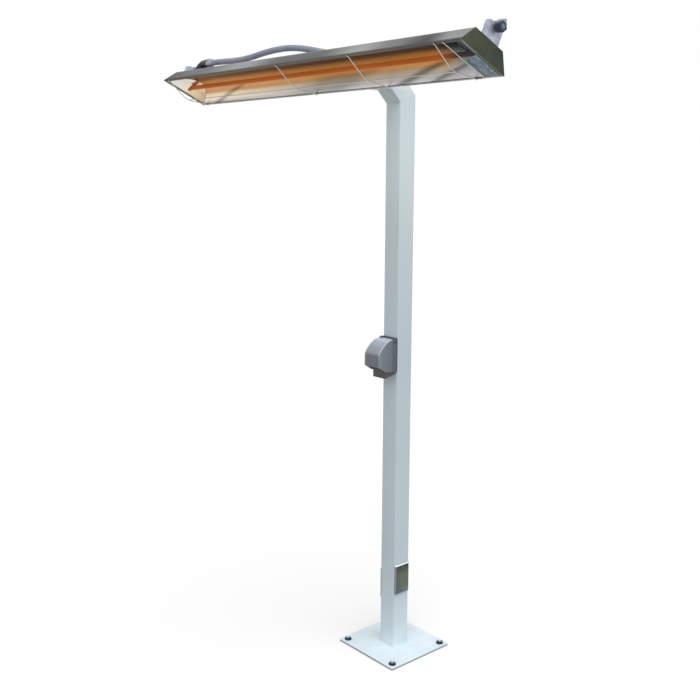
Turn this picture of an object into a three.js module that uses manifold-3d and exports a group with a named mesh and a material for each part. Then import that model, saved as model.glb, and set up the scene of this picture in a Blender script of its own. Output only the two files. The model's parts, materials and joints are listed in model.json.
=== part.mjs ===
// Infrared patio heater tower: a square steel post on a bolted base plate, a mitred gooseneck arm, and a
// long single-element quartz heater that tilts on the arm's fork. A weatherproof box with a lift-up hood
// sits on the post. Millimetres, +Z up, X along the heater, the heater faces -Y.
// The origin is the post's axis at the underside of the base plate.

import * as THREE from "three";
import { mergeVertices } from "three/addons/utils/BufferGeometryUtils.js";
import Module from "manifold-3d";

const wasm = await Module();
wasm.setup();

// ---------------------------------------------------------------- driving dimensions, mm and degrees

const SEAT_GAP = 0.3; // left between pieces that seat on each other
const RUNNING_GAP = 0.5; // left between pieces that move on each other

// base plate and its anchors
const PLATE_SIDE = 305;
const PLATE_THICK = 8;
const PLATE_CORNER = 6;
const ANCHOR_INSET = 24.5; // plate edge to anchor axis
const ANCHOR_RADIUS = 6;
const ANCHOR_HOLE_CLEARANCE = 1;
const ANCHOR_NUT_FLATS = 19;
const ANCHOR_NUT_HEIGHT = 8;
const ANCHOR_STUD_END = 4; // stud above the nut
const ANCHOR_WASHER_RADIUS = 15;
const ANCHOR_WASHER_THICK = 2.5;
const CABLE_HOLE_RADIUS = 11;
const CABLE_HOLE_BACK = 22; // behind the post's axis

// post and arm, one square tube
const TUBE_SIDE = 76.2;
const TUBE_WALL = 3;
const TUBE_CORNER = 4;
const CREASE_HEIGHT = 2092; // floor to the first mitre on the post's front face
const MITRE_ANGLE = 45;
const SLOPE_UNDERSIDE = 63; // length of the sloping piece's lower face
const ARM_REACH = 296; // post axis to the arm's open end

// access covers low on the post, one on each side
const COVER_WIDTH = 74;
const COVER_HEIGHT = 120;
const COVER_RISE = 5;
const COVER_BEVEL = 4.5;
const COVER_SHEET = 1.2;
const COVER_BOTTOM_RIGHT = 224;
const COVER_BOTTOM_LEFT = 190;
const GASKET_THICK = 1.5;
const HAND_HOLE_WIDTH = 44;
const HAND_HOLE_HEIGHT = 62;
const COVER_SCREW_SPACING = 100;
const SCREW_RADIUS = 1.9;
const SCREW_HEAD_RADIUS = 4;
const SCREW_HEAD_HEIGHT = 2.2;
const SCREW_HOLE_CLEARANCE = 0.4;

// control box on the post's front face
const BOX_BOTTOM = 1106; // ground to the backplate's lower edge
const BACKPLATE_WIDTH = 78;
const BACKPLATE_THICK = 4;
const BACKPLATE_HEIGHT = 129;
const HOOD_WIDTH = 80;
const HOOD_WALL = 2.5;
const HOOD_FRONT = 93; // post face to the hood's front
const HOOD_HEIGHT = 123; // its lower edge at the backplate to its top
const HOOD_ROOF_DROP = 50; // top to the upright front
const HOOD_SKIRT = 27; // rise of the lower edge from the backplate to the front
const HINGE_PIN_RADIUS = 1.6;
const HINGE_DROP = 3.5; // hood's top to the hinge pin
const HINGE_OUT = 7; // backplate face to the hinge pin
const HINGE_LUG_RADIUS = 9.5;
const HINGE_LUG_INNER = 28.5;
const HINGE_BARREL_RADIUS = 4;
const COWL_WIDTH = 68;
const COWL_OUT = 50; // backplate face to the cowl's front
const COWL_TOP_GAP = 30; // hood's top to the cowl's
const COWL_BELOW = 7; // backplate's lower edge to the cowl's at the back
const COWL_SLANT = 13; // fall of the cowl's floor to its front
const COWL_WALL = 2.4;
const REGULATOR_WIDTH = 52;
const REGULATOR_HEIGHT = 62;
const REGULATOR_DEPTH = 30;
const CONTROL_RISE = 52; // backplate's lower edge to the control knob's axis
const KNOB_RADIUS = 17;
const KNOB_DEPTH = 15;
const KNOB_SHAFT_RADIUS = 3;
const BOX_CABLE_HOLE_RADIUS = 10;

// heater head: its section is a trapezoid, t along the mouth from the front lip, n up from the mouth
const HEAD_LENGTH = 1556;
const MOUTH_WIDTH = 203;
const HEAD_TOP_WIDTH = 126;
const HEAD_DEPTH = 58;
const HOUSING_SHEET = 1.2;
const HOUSING_LIP = 10;
const HOUSING_FOLD = 2;
const HEAD_TILT = 25.5; // mouth plane to the floor
const FRONT_LIP_AHEAD = 203; // pivot to the front lip
const FRONT_LIP_RISE = 8;
const CAP_FLANGE = 8;
const CAP_TAB_DEPTH = 20; // cap to the inner edge of the terminal cover's tab
const CAP_TAB_WIDTH = 24;

// reflector trough and its sloping ends
const REFLECTOR_CROWN = 42;
const REFLECTOR_SHEET = 0.8;
const REFLECTOR_EDGE = 10; // mouth edge to the start of the curve
const RAMP_ANGLE = 24;
const RAMP_START = 8; // end cap to the foot of the ramp
const RAMP_FOOT_HEIGHT = 3.2;

// quartz element
const ELEMENT_HEIGHT = 20;
const QUARTZ_RADIUS = 8;
const QUARTZ_WALL = 1.4;
const FILAMENT_RADIUS = 2.6;
const CERAMIC_RADIUS = 9.6;
const CERAMIC_LENGTH = 13;
const CERAMIC_SOCKET = 6;
const ELEMENT_BRACKET_SHEET = 1.5;
const ELEMENT_BRACKET_WIDTH = 30;

// terminal cover in the mouth, over the back half of one end
const TERMINAL_SIDE = 1; // 1 is the right end
const TERMINAL_COVER_OUTER = 9; // head end to the cover's outer edge
const TERMINAL_COVER_INNER = 63.5;
const TERMINAL_COVER_FRONT_OUTER = 80; // the front edge is cut on a slant
const TERMINAL_COVER_FRONT_INNER = 104;
const TERMINAL_SCREW_ALONG = 14; // head end to the screw
const TERMINAL_SCREW_ACROSS = 161;

// wire guard
const WIRE_RADIUS = 1.6;
const HOOP_DROP = 30;
const HOOP_FLAT_FRONT = 88;
const HOOP_FLAT_BACK = 117;
const HOOP_FOOT = 9;
const HOOP_BEND = 9;
const HOOP_FIRST = 35; // end wire to the nearest hoop
const HOOP_PITCH = 363;
const HOOP_COUNT = 4;
const GUARD_END_LEFT = 36; // head's left end to the last hoop
const GUARD_END_RIGHT = 66; // head's right end to the end wire

// tilt joint
const PIVOT_OUT = 32; // arm's open end to the pivot
const PIVOT_RISE = 10.35; // arm's centre line to the pivot
const PIVOT_RADIUS = 6;
const LUG_RADIUS = 15;
const FORK_PLATE_THICK = 6;
const FORK_EAR_THICK = 6;
const FORK_EAR_SPAN = 64; // outside of one ear to the outside of the other
const FORK_EAR_HEIGHT = 52;
const FORK_FACING = 1.2; // raised ring on each ear's outside
const TILT_SHEET = 3;
const TILT_FOOT_FRONT = 95;
const TILT_FOOT_BACK = 160;
const TILT_BOLT_ACROSS = 127;
const TILT_BOLT_SPACING = 44;
const TILT_BOLT_RADIUS = 4;

// end brackets on the head's back, with a clamping knob each
const BRACKET_SHEET = 3;
const BRACKET_FRONT = 66;
const BRACKET_BACK = 141;
const BRACKET_FRONT_HEIGHT = 41;
const BRACKET_BACK_HEIGHT = 88;
const BRACKET_NOTCH_WIDTH = 18;
const BRACKET_NOTCH_DEPTH = 5;
const BRACKET_FOOT = 30;
const BRACKET_CORNER = 4;
const BRACKET_HOLE_ACROSS = 114;
const BRACKET_HOLE_HEIGHT = 45;
const BRACKET_STUD_RADIUS = 4;
const HAND_KNOB_RADIUS = 16;
const HAND_KNOB_THICK = 17;
const HAND_KNOB_LOBES = 6;

// conduit elbow on the head's back and the flexible conduit to the arm
const ELBOW_FOOT_IN = 113; // head's left end to the elbow's foot
const ELBOW_FOOT_ACROSS = 67;
const CONDUIT_RISE = 38; // head's back to the conduit's axis
const ELBOW_FLANGE_RADIUS = 21;
const ELBOW_FLANGE_THICK = 6;
const ELBOW_RADIUS = 15;
const ELBOW_BORE = 9;
const ELBOW_BEND = 26;
const ELBOW_RUN = 55; // foot to outlet
const GLAND_LENGTH = 30;
const GLAND_RADIUS = 17;
const CONDUIT_RADIUS = 10.8;
const ARM_ELBOW_IN = 61; // arm's open end to the elbow's foot
const ARM_ELBOW_X = -12;
const ARM_ELBOW_RISE = 30; // arm's top to the elbow's axis
const ARM_ELBOW_REACH = 28;

// ---------------------------------------------------------------- worked out from the dimensions above

const rad = THREE.MathUtils.degToRad;
const half = TUBE_SIDE / 2;
const mitreStep = Math.tan(rad(MITRE_ANGLE / 2)) * TUBE_SIDE; // difference of the two faces at a mitre
const postTopCentre = CREASE_HEIGHT + mitreStep / 2;
const slopeLength = SLOPE_UNDERSIDE + mitreStep;
const armCentre = new THREE.Vector3(
  0,
  -slopeLength * Math.sin(rad(MITRE_ANGLE)),
  postTopCentre + slopeLength * Math.cos(rad(MITRE_ANGLE)),
);
const armTop = armCentre.z + half;
const pivotY = -ARM_REACH - PIVOT_OUT;
const pivotZ = armCentre.z + PIVOT_RISE;
const frontLipY = pivotY - FRONT_LIP_AHEAD;
const frontLipZ = pivotZ + FRONT_LIP_RISE;
const armElbowY = ARM_ELBOW_IN - ARM_REACH;
const anchorOffset = PLATE_SIDE / 2 - ANCHOR_INSET;
const hoodFront = -half - HOOD_FRONT;
const backplateSeat = -half - GASKET_THICK;
const backplateFace = backplateSeat - BACKPLATE_THICK;
const cowlFront = backplateFace - COWL_OUT;
const backplateTop = BOX_BOTTOM + BACKPLATE_HEIGHT;
const hoodLipBack = BOX_BOTTOM + 1;
const hoodLipFront = hoodLipBack + HOOD_SKIRT;
const hoodTop = hoodLipBack + HOOD_HEIGHT;
const hoodShoulder = hoodTop - HOOD_ROOF_DROP;
const cowlTop = hoodTop - COWL_TOP_GAP;
const cowlBackBottom = BOX_BOTTOM - COWL_BELOW;
const cowlFrontBottom = cowlBackBottom - COWL_SLANT;
const controlHeight = BOX_BOTTOM + CONTROL_RISE;
const hingeY = backplateFace - HINGE_OUT;
const hingeHeight = hoodTop - HINGE_DROP;
const capPlane = HEAD_LENGTH / 2 - HOUSING_SHEET;
const mouthCentre = MOUTH_WIDTH / 2;
const topInset = (MOUTH_WIDTH - HEAD_TOP_WIDTH) / 2;
const rampSlope = Math.tan(rad(RAMP_ANGLE));
const rampFoot = HEAD_LENGTH / 2 - RAMP_START;
const reflectorEdgeHeight = HOUSING_SHEET + SEAT_GAP + REFLECTOR_SHEET / 2;
const reflectorHalf = mouthCentre - REFLECTOR_EDGE;
const ceramicInner = rampFoot - (ELEMENT_HEIGHT - CERAMIC_RADIUS - RAMP_FOOT_HEIGHT) / rampSlope + 2;
const ceramicOuter = ceramicInner + CERAMIC_LENGTH;
const [pivotBehind, pivotAbove] = [pivotY - frontLipY, pivotZ - frontLipZ];
const pivotAcross = pivotBehind * Math.cos(rad(HEAD_TILT)) - pivotAbove * Math.sin(rad(HEAD_TILT));
const pivotUp = pivotBehind * Math.sin(rad(HEAD_TILT)) + pivotAbove * Math.cos(rad(HEAD_TILT));
const lugInside = FORK_EAR_SPAN / 2 + FORK_FACING + SEAT_GAP;
const guardLeft = GUARD_END_LEFT - HEAD_LENGTH / 2;
const guardRight = HEAD_LENGTH / 2 - GUARD_END_RIGHT;
const hoopRightmost = guardRight - HOOP_FIRST;
const elbowFootX = ELBOW_FOOT_IN - HEAD_LENGTH / 2;
const elbowOutletX = elbowFootX + ELBOW_RUN;

// ---------------------------------------------------------------- finishes

const FINISH = {
  paint: [0xdde6ea, 0.42, 0.1],
  stainless: [0xb9bcbd, 0.28, 0.9],
  darkStainless: [0x6d7168, 0.22, 0.9],
  zinc: [0xb4bcc6, 0.4, 0.75],
  darkSteel: [0x3a434c, 0.35, 0.8],
  mirror: [0xe0dcd4, 0.1, 1],
  greyPlastic: [0x7d858f, 0.45, 0],
  darkPlastic: [0x3b4348, 0.5, 0],
  blackPlastic: [0x17191a, 0.5, 0],
  knobPlastic: [0x222b38, 0.4, 0],
  rubber: [0x202224, 0.85, 0],
  ceramic: [0xe6e0d2, 0.6, 0],
  quartz: [0xb84712, 0.2, 0],
  filament: [0xe06a1c, 0.6, 0.2],
  conduit: [0x5f6c7d, 0.5, 0.1],
  wire: [0xc9cbca, 0.25, 0.9],
};

const heater = new THREE.Group();
const head = new THREE.Group();
head.position.set(0, frontLipY, frontLipZ);
head.rotation.x = -rad(HEAD_TILT);
heater.add(head);

// Adds one named piece to a group.
function piece(group, name, geometry, finish) {
  const [color, roughness, metalness] = FINISH[finish];
  const mesh = new THREE.Mesh(geometry, new THREE.MeshStandardMaterial({ color, roughness, metalness }));
  mesh.name = name;
  group.add(mesh);
  return mesh;
}

// ---------------------------------------------------------------- solids

function toSolid(geometry) {
  const bare = (geometry.index ? geometry.toNonIndexed() : geometry.clone());
  bare.deleteAttribute("normal");
  bare.deleteAttribute("uv");
  const merged = mergeVertices(bare, 1e-4);
  return new wasm.Manifold(
    new wasm.Mesh({
      numProp: 3,
      vertProperties: merged.attributes.position.array,
      triVerts: new Uint32Array(merged.index.array),
    }),
  );
}

function toGeometry(solid) {
  const { vertProperties, triVerts } = solid.getMesh();
  const geometry = new THREE.BufferGeometry();
  geometry.setAttribute("position", new THREE.BufferAttribute(vertProperties, 3));
  geometry.setIndex(new THREE.BufferAttribute(triVerts, 1));
  return geometry;
}

function cut(geometry, ...tools) {
  return toGeometry(tools.reduce((solid, tool) => solid.subtract(toSolid(tool)), toSolid(geometry)));
}

function join(first, ...others) {
  return toGeometry(others.reduce((solid, other) => solid.add(toSolid(other)), toSolid(first)));
}

function common(first, second) {
  return toGeometry(toSolid(first).intersect(toSolid(second)));
}

// A block between two corners.
function block(low, high) {
  const size = high.map((value, i) => value - low[i]);
  const centre = high.map((value, i) => (value + low[i]) / 2);
  return new THREE.BoxGeometry(...size).translate(...centre);
}

// A cylinder or cone along an axis, from one end to the other.
function rod(axis, centre, from, to, radius, sides = 20, endRadius = radius) {
  const geometry = new THREE.CylinderGeometry(endRadius, radius, to - from, sides);
  geometry.translate(0, (from + to) / 2, 0);
  if (axis === "x") geometry.rotateZ(-Math.PI / 2).translate(0, centre[0], centre[1]);
  if (axis === "y") geometry.translate(centre[0], 0, centre[1]);
  if (axis === "z") geometry.rotateX(Math.PI / 2).translate(centre[0], centre[1], 0);
  return geometry;
}

// A tube along an axis.
function pipe(axis, centre, from, to, radius, bore, sides = 20) {
  const inner = rod(axis, centre, from - 1, to + 1, bore, sides);
  return cut(rod(axis, centre, from, to, radius, sides), inner);
}

// Two distances from the middle on one side of it, in rising order.
function span(side, near, far) {
  return [side * near, side * far].sort((a, b) => a - b);
}

// A flat outline pulled along an axis: the outline's two directions are y and z, x and z, or x and y.
function prism(axis, outline, from, to) {
  const shape = outline instanceof THREE.Shape ? outline : new THREE.Shape(outline);
  const settings = { depth: to - from, bevelEnabled: false, curveSegments: 8 };
  const geometry = new THREE.ExtrudeGeometry(shape, settings);
  const turn = new THREE.Matrix4();
  if (axis === "x") turn.set(0, 0, 1, from, 1, 0, 0, 0, 0, 1, 0, 0, 0, 0, 0, 1);
  if (axis === "y") turn.set(1, 0, 0, 0, 0, 0, -1, to, 0, 1, 0, 0, 0, 0, 0, 1);
  if (axis === "z") turn.makeTranslation(0, 0, from);
  return geometry.applyMatrix4(turn);
}

function points(...pairs) {
  return pairs.map(([a, b]) => new THREE.Vector2(a, b));
}

// The same corners with each one rounded off by an arc. An open line keeps its two ends.
function rounded(corners, radius, steps = 3, open = false) {
  const result = [];
  corners.forEach((corner, i) => {
    if (open && (i === 0 || i === corners.length - 1)) {
      result.push(corner.clone());
      return;
    }
    const before = corners.at(i - 1).clone().sub(corner).normalize();
    const after = corners[(i + 1) % corners.length].clone().sub(corner).normalize();
    const opening = Math.acos(THREE.MathUtils.clamp(before.dot(after), -1, 1));
    const setBack = radius / Math.tan(opening / 2);
    const inward = before.clone().add(after).normalize();
    const centre = corner.clone().addScaledVector(inward, radius / Math.sin(opening / 2));
    const first = corner.clone().addScaledVector(before, setBack).sub(centre);
    const last = corner.clone().addScaledVector(after, setBack).sub(centre);
    const sweep = Math.atan2(first.cross(last), first.dot(last));
    for (let step = 0; step <= steps; step++) {
      result.push(first.clone().rotateAround(new THREE.Vector2(), (sweep * step) / steps).add(centre));
    }
  });
  return result;
}

function roundedBox(width, height, radius, steps = 3) {
  const [a, b] = [width / 2, height / 2];
  return rounded(points([-a, -b], [a, -b], [a, b], [-a, b]), radius, steps);
}

function shifted(outline, across, up) {
  return outline.map((point) => new THREE.Vector2(point.x + across, point.y + up));
}

// The outline of a bent sheet, from its centre line.
function sheetOutline(line, thickness) {
  const sides = [[], []];
  line.forEach((point, i) => {
    const into = line[Math.max(i, 1)].clone().sub(line[Math.max(i, 1) - 1]).normalize();
    const next = Math.min(i + 1, line.length - 1);
    const out = line[next].clone().sub(line[next - 1]).normalize();
    const along = into.clone().add(out).normalize();
    const reach = thickness / 2 / along.dot(into);
    const normal = new THREE.Vector2(-along.y, along.x).multiplyScalar(reach);
    sides[0].push(point.clone().add(normal));
    sides[1].unshift(point.clone().sub(normal));
  });
  return [...sides[1].reverse(), ...sides[0].reverse()];
}

// A closed solid through rings of the same number of points, with flat ends.
function loft(rings, outline) {
  const count = outline.length;
  const positions = rings.flat().flatMap((point) => [point.x, point.y, point.z]);
  const faces = THREE.ShapeUtils.triangulateShape(outline, []);
  const index = [];
  for (let ring = 0; ring < rings.length - 1; ring++) {
    for (let i = 0; i < count; i++) {
      const [a, b] = [ring * count + i, ring * count + ((i + 1) % count)];
      index.push(a, b, b + count, a, b + count, a + count);
    }
  }
  const last = (rings.length - 1) * count;
  faces.forEach(([a, b, c]) => index.push(c, b, a, last + a, last + b, last + c));
  const geometry = new THREE.BufferGeometry();
  geometry.setAttribute("position", new THREE.Float32BufferAttribute(positions, 3));
  geometry.setIndex(index);
  return geometry;
}

// A section swept along a line of straight stretches in one plane, with a mitre at each corner.
// The section's first direction is the plane's normal, its second lies in the plane.
function mitred(section, line, normal) {
  const rings = line.map((point, i) => {
    const into = line[Math.max(i, 1)].clone().sub(line[Math.max(i, 1) - 1]).normalize();
    const next = Math.min(i + 1, line.length - 1);
    const out = line[next].clone().sub(line[next - 1]).normalize();
    const along = into.clone().add(out).normalize();
    const side = new THREE.Vector3().crossVectors(along, normal).divideScalar(along.dot(into));
    return section.map((spot) => point.clone().addScaledVector(normal, spot.x).addScaledVector(side, spot.y));
  });
  return loft(rings, section);
}

function circle(radius, sides) {
  return Array.from({ length: sides }, (_, i) => {
    const angle = (2 * Math.PI * i) / sides;
    return new THREE.Vector2(radius * Math.cos(angle), radius * Math.sin(angle));
  });
}

// ---------------------------------------------------------------- base plate and anchors

function addBase() {
  const holes = [rod("z", [0, CABLE_HOLE_BACK], -1, PLATE_THICK + 1, CABLE_HOLE_RADIUS)];
  for (const side of [-1, 1]) {
    for (const end of [-1, 1]) {
      const centre = [side * anchorOffset, end * anchorOffset];
      holes.push(rod("z", centre, -1, PLATE_THICK + 1, ANCHOR_RADIUS + ANCHOR_HOLE_CLEARANCE));
      const name = `${end < 0 ? "front" : "back"}_${side < 0 ? "left" : "right"}`;
      addAnchor(name, centre);
    }
  }
  const plate = prism("z", roundedBox(PLATE_SIDE, PLATE_SIDE, PLATE_CORNER), 0, PLATE_THICK);
  piece(heater, "base_plate", cut(plate, ...holes), "paint");
}

// A washer, and a hexagon nut on the stud that comes up through the plate.
function addAnchor(name, centre) {
  const washerTop = PLATE_THICK + ANCHOR_WASHER_THICK;
  const nutTop = washerTop + ANCHOR_NUT_HEIGHT;
  const hole = ANCHOR_RADIUS + ANCHOR_HOLE_CLEARANCE;
  const washer = pipe("z", centre, PLATE_THICK, washerTop, ANCHOR_WASHER_RADIUS, hole, 20);
  piece(heater, `anchor_washer_${name}`, washer, "darkSteel");
  const nutRadius = ANCHOR_NUT_FLATS / 2 / Math.cos(Math.PI / 6);
  const nut = rod("z", centre, washerTop, nutTop - 1.5, nutRadius, 6);
  const crown = rod("z", centre, nutTop - 2, nutTop, ANCHOR_NUT_FLATS / 2, 16, ANCHOR_NUT_FLATS / 2 - 1.2);
  const stud = rod("z", centre, 0, nutTop + ANCHOR_STUD_END - 1, ANCHOR_RADIUS, 16);
  const end = nutTop + ANCHOR_STUD_END;
  const tip = rod("z", centre, end - 1.5, end, ANCHOR_RADIUS - 0.2, 16, ANCHOR_RADIUS - 1.6);
  piece(heater, `anchor_nut_${name}`, join(nut, crown, stud, tip), "darkSteel");
}

// ---------------------------------------------------------------- post and gooseneck

function squareTube(line) {
  const across = new THREE.Vector3(1, 0, 0);
  const outside = roundedBox(TUBE_SIDE, TUBE_SIDE, TUBE_CORNER);
  const inside = roundedBox(TUBE_SIDE - 2 * TUBE_WALL, TUBE_SIDE - 2 * TUBE_WALL, TUBE_CORNER - TUBE_WALL, 1);
  return cut(mitred(outside, line, across), mitred(inside, line, across));
}

// The tube's centre line from the plate to the open end of the arm.
function tubeLine() {
  return [
    new THREE.Vector3(0, 0, PLATE_THICK),
    new THREE.Vector3(0, 0, postTopCentre),
    armCentre.clone(),
    new THREE.Vector3(0, -ARM_REACH, armCentre.z),
  ];
}

// Everything above or below the first mitre, with half the weld gap on each side of it.
function beyondMitre(above) {
  const angle = rad(MITRE_ANGLE / 2);
  const reach = 2 * CREASE_HEIGHT;
  const slab = above ? [SEAT_GAP / 2, reach] : [-reach, -SEAT_GAP / 2];
  const tool = block([-reach, -reach, slab[0]], [reach, reach, slab[1]]);
  return tool.rotateX(angle).translate(0, 0, postTopCentre);
}

function addPost() {
  const tube = squareTube(tubeLine());
  const tools = [];
  for (const side of [-1, 1]) {
    const middle = coverBottom(side) + COVER_HEIGHT / 2;
    const reach = [side * (half - TUBE_WALL - 1), side * (half + 1)].sort((a, b) => a - b);
    const hole = shifted(roundedBox(HAND_HOLE_WIDTH, HAND_HOLE_HEIGHT, 6, 2), 0, middle);
    tools.push(prism("x", hole, ...reach));
    for (const end of [-1, 1]) {
      const spot = [0, middle + (end * COVER_SCREW_SPACING) / 2];
      tools.push(rod("x", spot, ...reach, SCREW_RADIUS + SCREW_HOLE_CLEARANCE, 12));
    }
  }
  const frontWall = [-half - 1, -half + TUBE_WALL + 1];
  tools.push(rod("y", [0, controlHeight], ...frontWall, BOX_CABLE_HOLE_RADIUS));
  for (const height of boxScrewHeights()) {
    tools.push(rod("y", [0, height], ...frontWall, SCREW_RADIUS + SCREW_HOLE_CLEARANCE, 12));
  }
  piece(heater, "post_tube", cut(common(tube, beyondMitre(false)), ...tools), "paint");
  const gland = rod("z", [ARM_ELBOW_X, armElbowY], armTop - TUBE_WALL - 1, armTop + 1, ELBOW_BORE);
  piece(heater, "gooseneck_arm", cut(common(tube, beyondMitre(true)), gland), "paint");
}

// ---------------------------------------------------------------- access covers

function coverBottom(side) {
  return side > 0 ? COVER_BOTTOM_RIGHT : COVER_BOTTOM_LEFT;
}

// A bevelled pan: a rectangle that draws in as it rises off the post.
function bevelledPan(side, seat, width, height, rise, bevel) {
  const rings = [[0, 0], [rise, bevel]].map(([lift, inset]) =>
    roundedBox(width - 2 * inset, height - 2 * inset, 2, 2).map(
      (spot) => new THREE.Vector3(side * (seat + lift), side * spot.x, spot.y),
    ),
  );
  return loft(rings, roundedBox(width, height, 2, 2));
}

function addAccessCover(side) {
  const name = side > 0 ? "right" : "left";
  const middle = coverBottom(side) + COVER_HEIGHT / 2;
  const ordered = (a, b) => [side * a, side * b].sort((p, q) => p - q);
  const seat = half + GASKET_THICK;
  const spots = [-1, 1].map((end) => [0, middle + (end * COVER_SCREW_SPACING) / 2]);
  const clear = spots.map((spot) => {
    const reach = ordered(half - 1, seat + COVER_RISE + 1);
    return rod("x", spot, ...reach, SCREW_RADIUS + SCREW_HOLE_CLEARANCE, 12);
  });
  const rim = shifted(roundedBox(COVER_WIDTH - 1, COVER_HEIGHT - 1, 2, 2), 0, middle);
  const window = shifted(roundedBox(HAND_HOLE_WIDTH, HAND_HOLE_HEIGHT, 6, 2), 0, middle);
  const through = prism("x", window, ...ordered(half - 1, seat + 1));
  const gasket = cut(prism("x", rim, ...ordered(half, seat)), through, ...clear);
  piece(heater, `access_gasket_${name}`, gasket, "rubber");
  const pan = bevelledPan(side, seat, COVER_WIDTH, COVER_HEIGHT, COVER_RISE, COVER_BEVEL);
  const inset = 2 * COVER_SHEET;
  const hollow = bevelledPan(
    side,
    seat - 0.01,
    COVER_WIDTH - inset,
    COVER_HEIGHT - inset,
    COVER_RISE - COVER_SHEET,
    COVER_BEVEL - COVER_SHEET / 2,
  );
  const postReach = ordered(seat, seat + COVER_RISE - 1);
  const posts = spots.map((spot) => rod("x", spot, ...postReach, SCREW_HEAD_RADIUS, 16));
  const shell = cut(pan.translate(0, 0, middle), hollow.translate(0, 0, middle));
  piece(heater, `access_cover_${name}`, cut(join(shell, ...posts), ...clear), "darkStainless");
  spots.forEach((spot, i) => {
    const face = seat + COVER_RISE;
    const shank = rod("x", spot, ...ordered(half - TUBE_WALL - 2, face + 1), SCREW_RADIUS, 12);
    const crown = rod("x", spot, ...ordered(face, face + SCREW_HEAD_HEIGHT), SCREW_HEAD_RADIUS, 16);
    piece(heater, `cover_screw_${name}_${i ? "upper" : "lower"}`, join(shank, crown), "stainless");
  });
}

// ---------------------------------------------------------------- control box

function boxScrewHeights() {
  return [cowlTop - 12, cowlBackBottom + 20];
}

// The hood's side view: a curved roof, an upright front and a lower edge that falls towards the post.
function hoodOutline(inset, open) {
  const back = backplateFace - SEAT_GAP + open;
  const front = hoodFront + inset;
  const roof = hoodTop - inset;
  const curve = new THREE.SplineCurve([
    ...points([back - 22, roof], [front + 46, roof - 4], [front + 22, roof - 22], [front + 4, roof - 42]),
    new THREE.Vector2(front, hoodShoulder - 6),
  ]);
  return [
    new THREE.Vector2(back, hoodLipBack - open),
    new THREE.Vector2(back, hingeHeight - 2),
    new THREE.Vector2(back - 2 + open, roof),
    ...curve.getPoints(10),
    new THREE.Vector2(front, hoodLipFront - open),
    new THREE.Vector2(front + 34, hoodLipFront - 21 - open),
  ];
}

// Something turned about the hood's hinge, given its two ends along the hinge.
function onHinge(from, to, radius, sides = 20) {
  return rod("x", [hingeY, hingeHeight], from, to, radius, sides);
}

function addBackplate() {
  const width = BACKPLATE_WIDTH / 2;
  const rim = shifted(
    roundedBox(BACKPLATE_WIDTH, backplateTop - BOX_BOTTOM, 4, 2),
    0,
    (backplateTop + BOX_BOTTOM) / 2,
  );
  const bores = boxScrewHeights().map((height) =>
    rod("y", [0, height], backplateFace - 1, -half + 1, SCREW_RADIUS + SCREW_HOLE_CLEARANCE, 12),
  );
  bores.push(rod("y", [0, controlHeight], backplateFace - 1, -half + 1, BOX_CABLE_HOLE_RADIUS));
  piece(heater, "box_gasket", cut(prism("y", rim, backplateSeat, -half), ...bores), "rubber");
  const lugs = [-1, 1].map((side) => {
    const reach = span(side, HINGE_LUG_INNER, width);
    const web = block(
      [reach[0], hingeY, hingeHeight - HINGE_LUG_RADIUS],
      [reach[1], backplateFace + 1, hingeHeight + HINGE_LUG_RADIUS],
    );
    return join(onHinge(...reach, HINGE_LUG_RADIUS), web);
  });
  const pinBore = onHinge(-width - 1, width + 1, HINGE_PIN_RADIUS + 0.2, 16);
  const plate = join(prism("y", rim, backplateFace, backplateSeat), ...lugs);
  piece(heater, "box_backplate", cut(plate, pinBore, ...bores), "darkPlastic");
}

function addControlBox() {
  const axis = [0, controlHeight];
  const wall = COWL_WALL;
  const outside = points(
    [backplateFace, cowlBackBottom],
    [backplateFace, cowlTop],
    [cowlFront, cowlTop],
    [cowlFront, cowlFrontBottom],
  );
  const inside = points(
    [backplateFace + 1, cowlBackBottom + wall],
    [backplateFace + 1, cowlTop - wall],
    [cowlFront + wall, cowlTop - wall],
    [cowlFront + wall, cowlFrontBottom + wall],
  );
  const shell = cut(
    prism("x", outside, -COWL_WIDTH / 2, COWL_WIDTH / 2),
    prism("x", inside, -COWL_WIDTH / 2 + wall, COWL_WIDTH / 2 - wall),
    rod("y", axis, cowlFront - 1, cowlFront + wall + 1, KNOB_SHAFT_RADIUS + 0.6, 16),
  );
  piece(heater, "control_cowl", shell, "darkPlastic");

  const face = cowlFront + wall;
  const regulator = block(
    [-REGULATOR_WIDTH / 2, face, controlHeight - REGULATOR_HEIGHT / 2],
    [REGULATOR_WIDTH / 2, face + REGULATOR_DEPTH, controlHeight + REGULATOR_HEIGHT / 2],
  );
  const shaft = rod("y", axis, cowlFront - KNOB_DEPTH / 2, face + 1, KNOB_SHAFT_RADIUS, 16);
  piece(heater, "power_regulator", join(regulator, shaft), "blackPlastic");
  addControlKnob();

  boxScrewHeights().forEach((height, i) => {
    const shank = rod("y", [0, height], backplateFace - 1, -half + TUBE_WALL + 4, SCREW_RADIUS, 12);
    const crownTop = backplateFace - SCREW_HEAD_HEIGHT;
    const crown = rod("y", [0, height], crownTop, backplateFace, SCREW_HEAD_RADIUS, 16);
    piece(heater, `box_screw_${i ? "lower" : "upper"}`, join(shank, crown), "zinc");
  });
}

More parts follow.
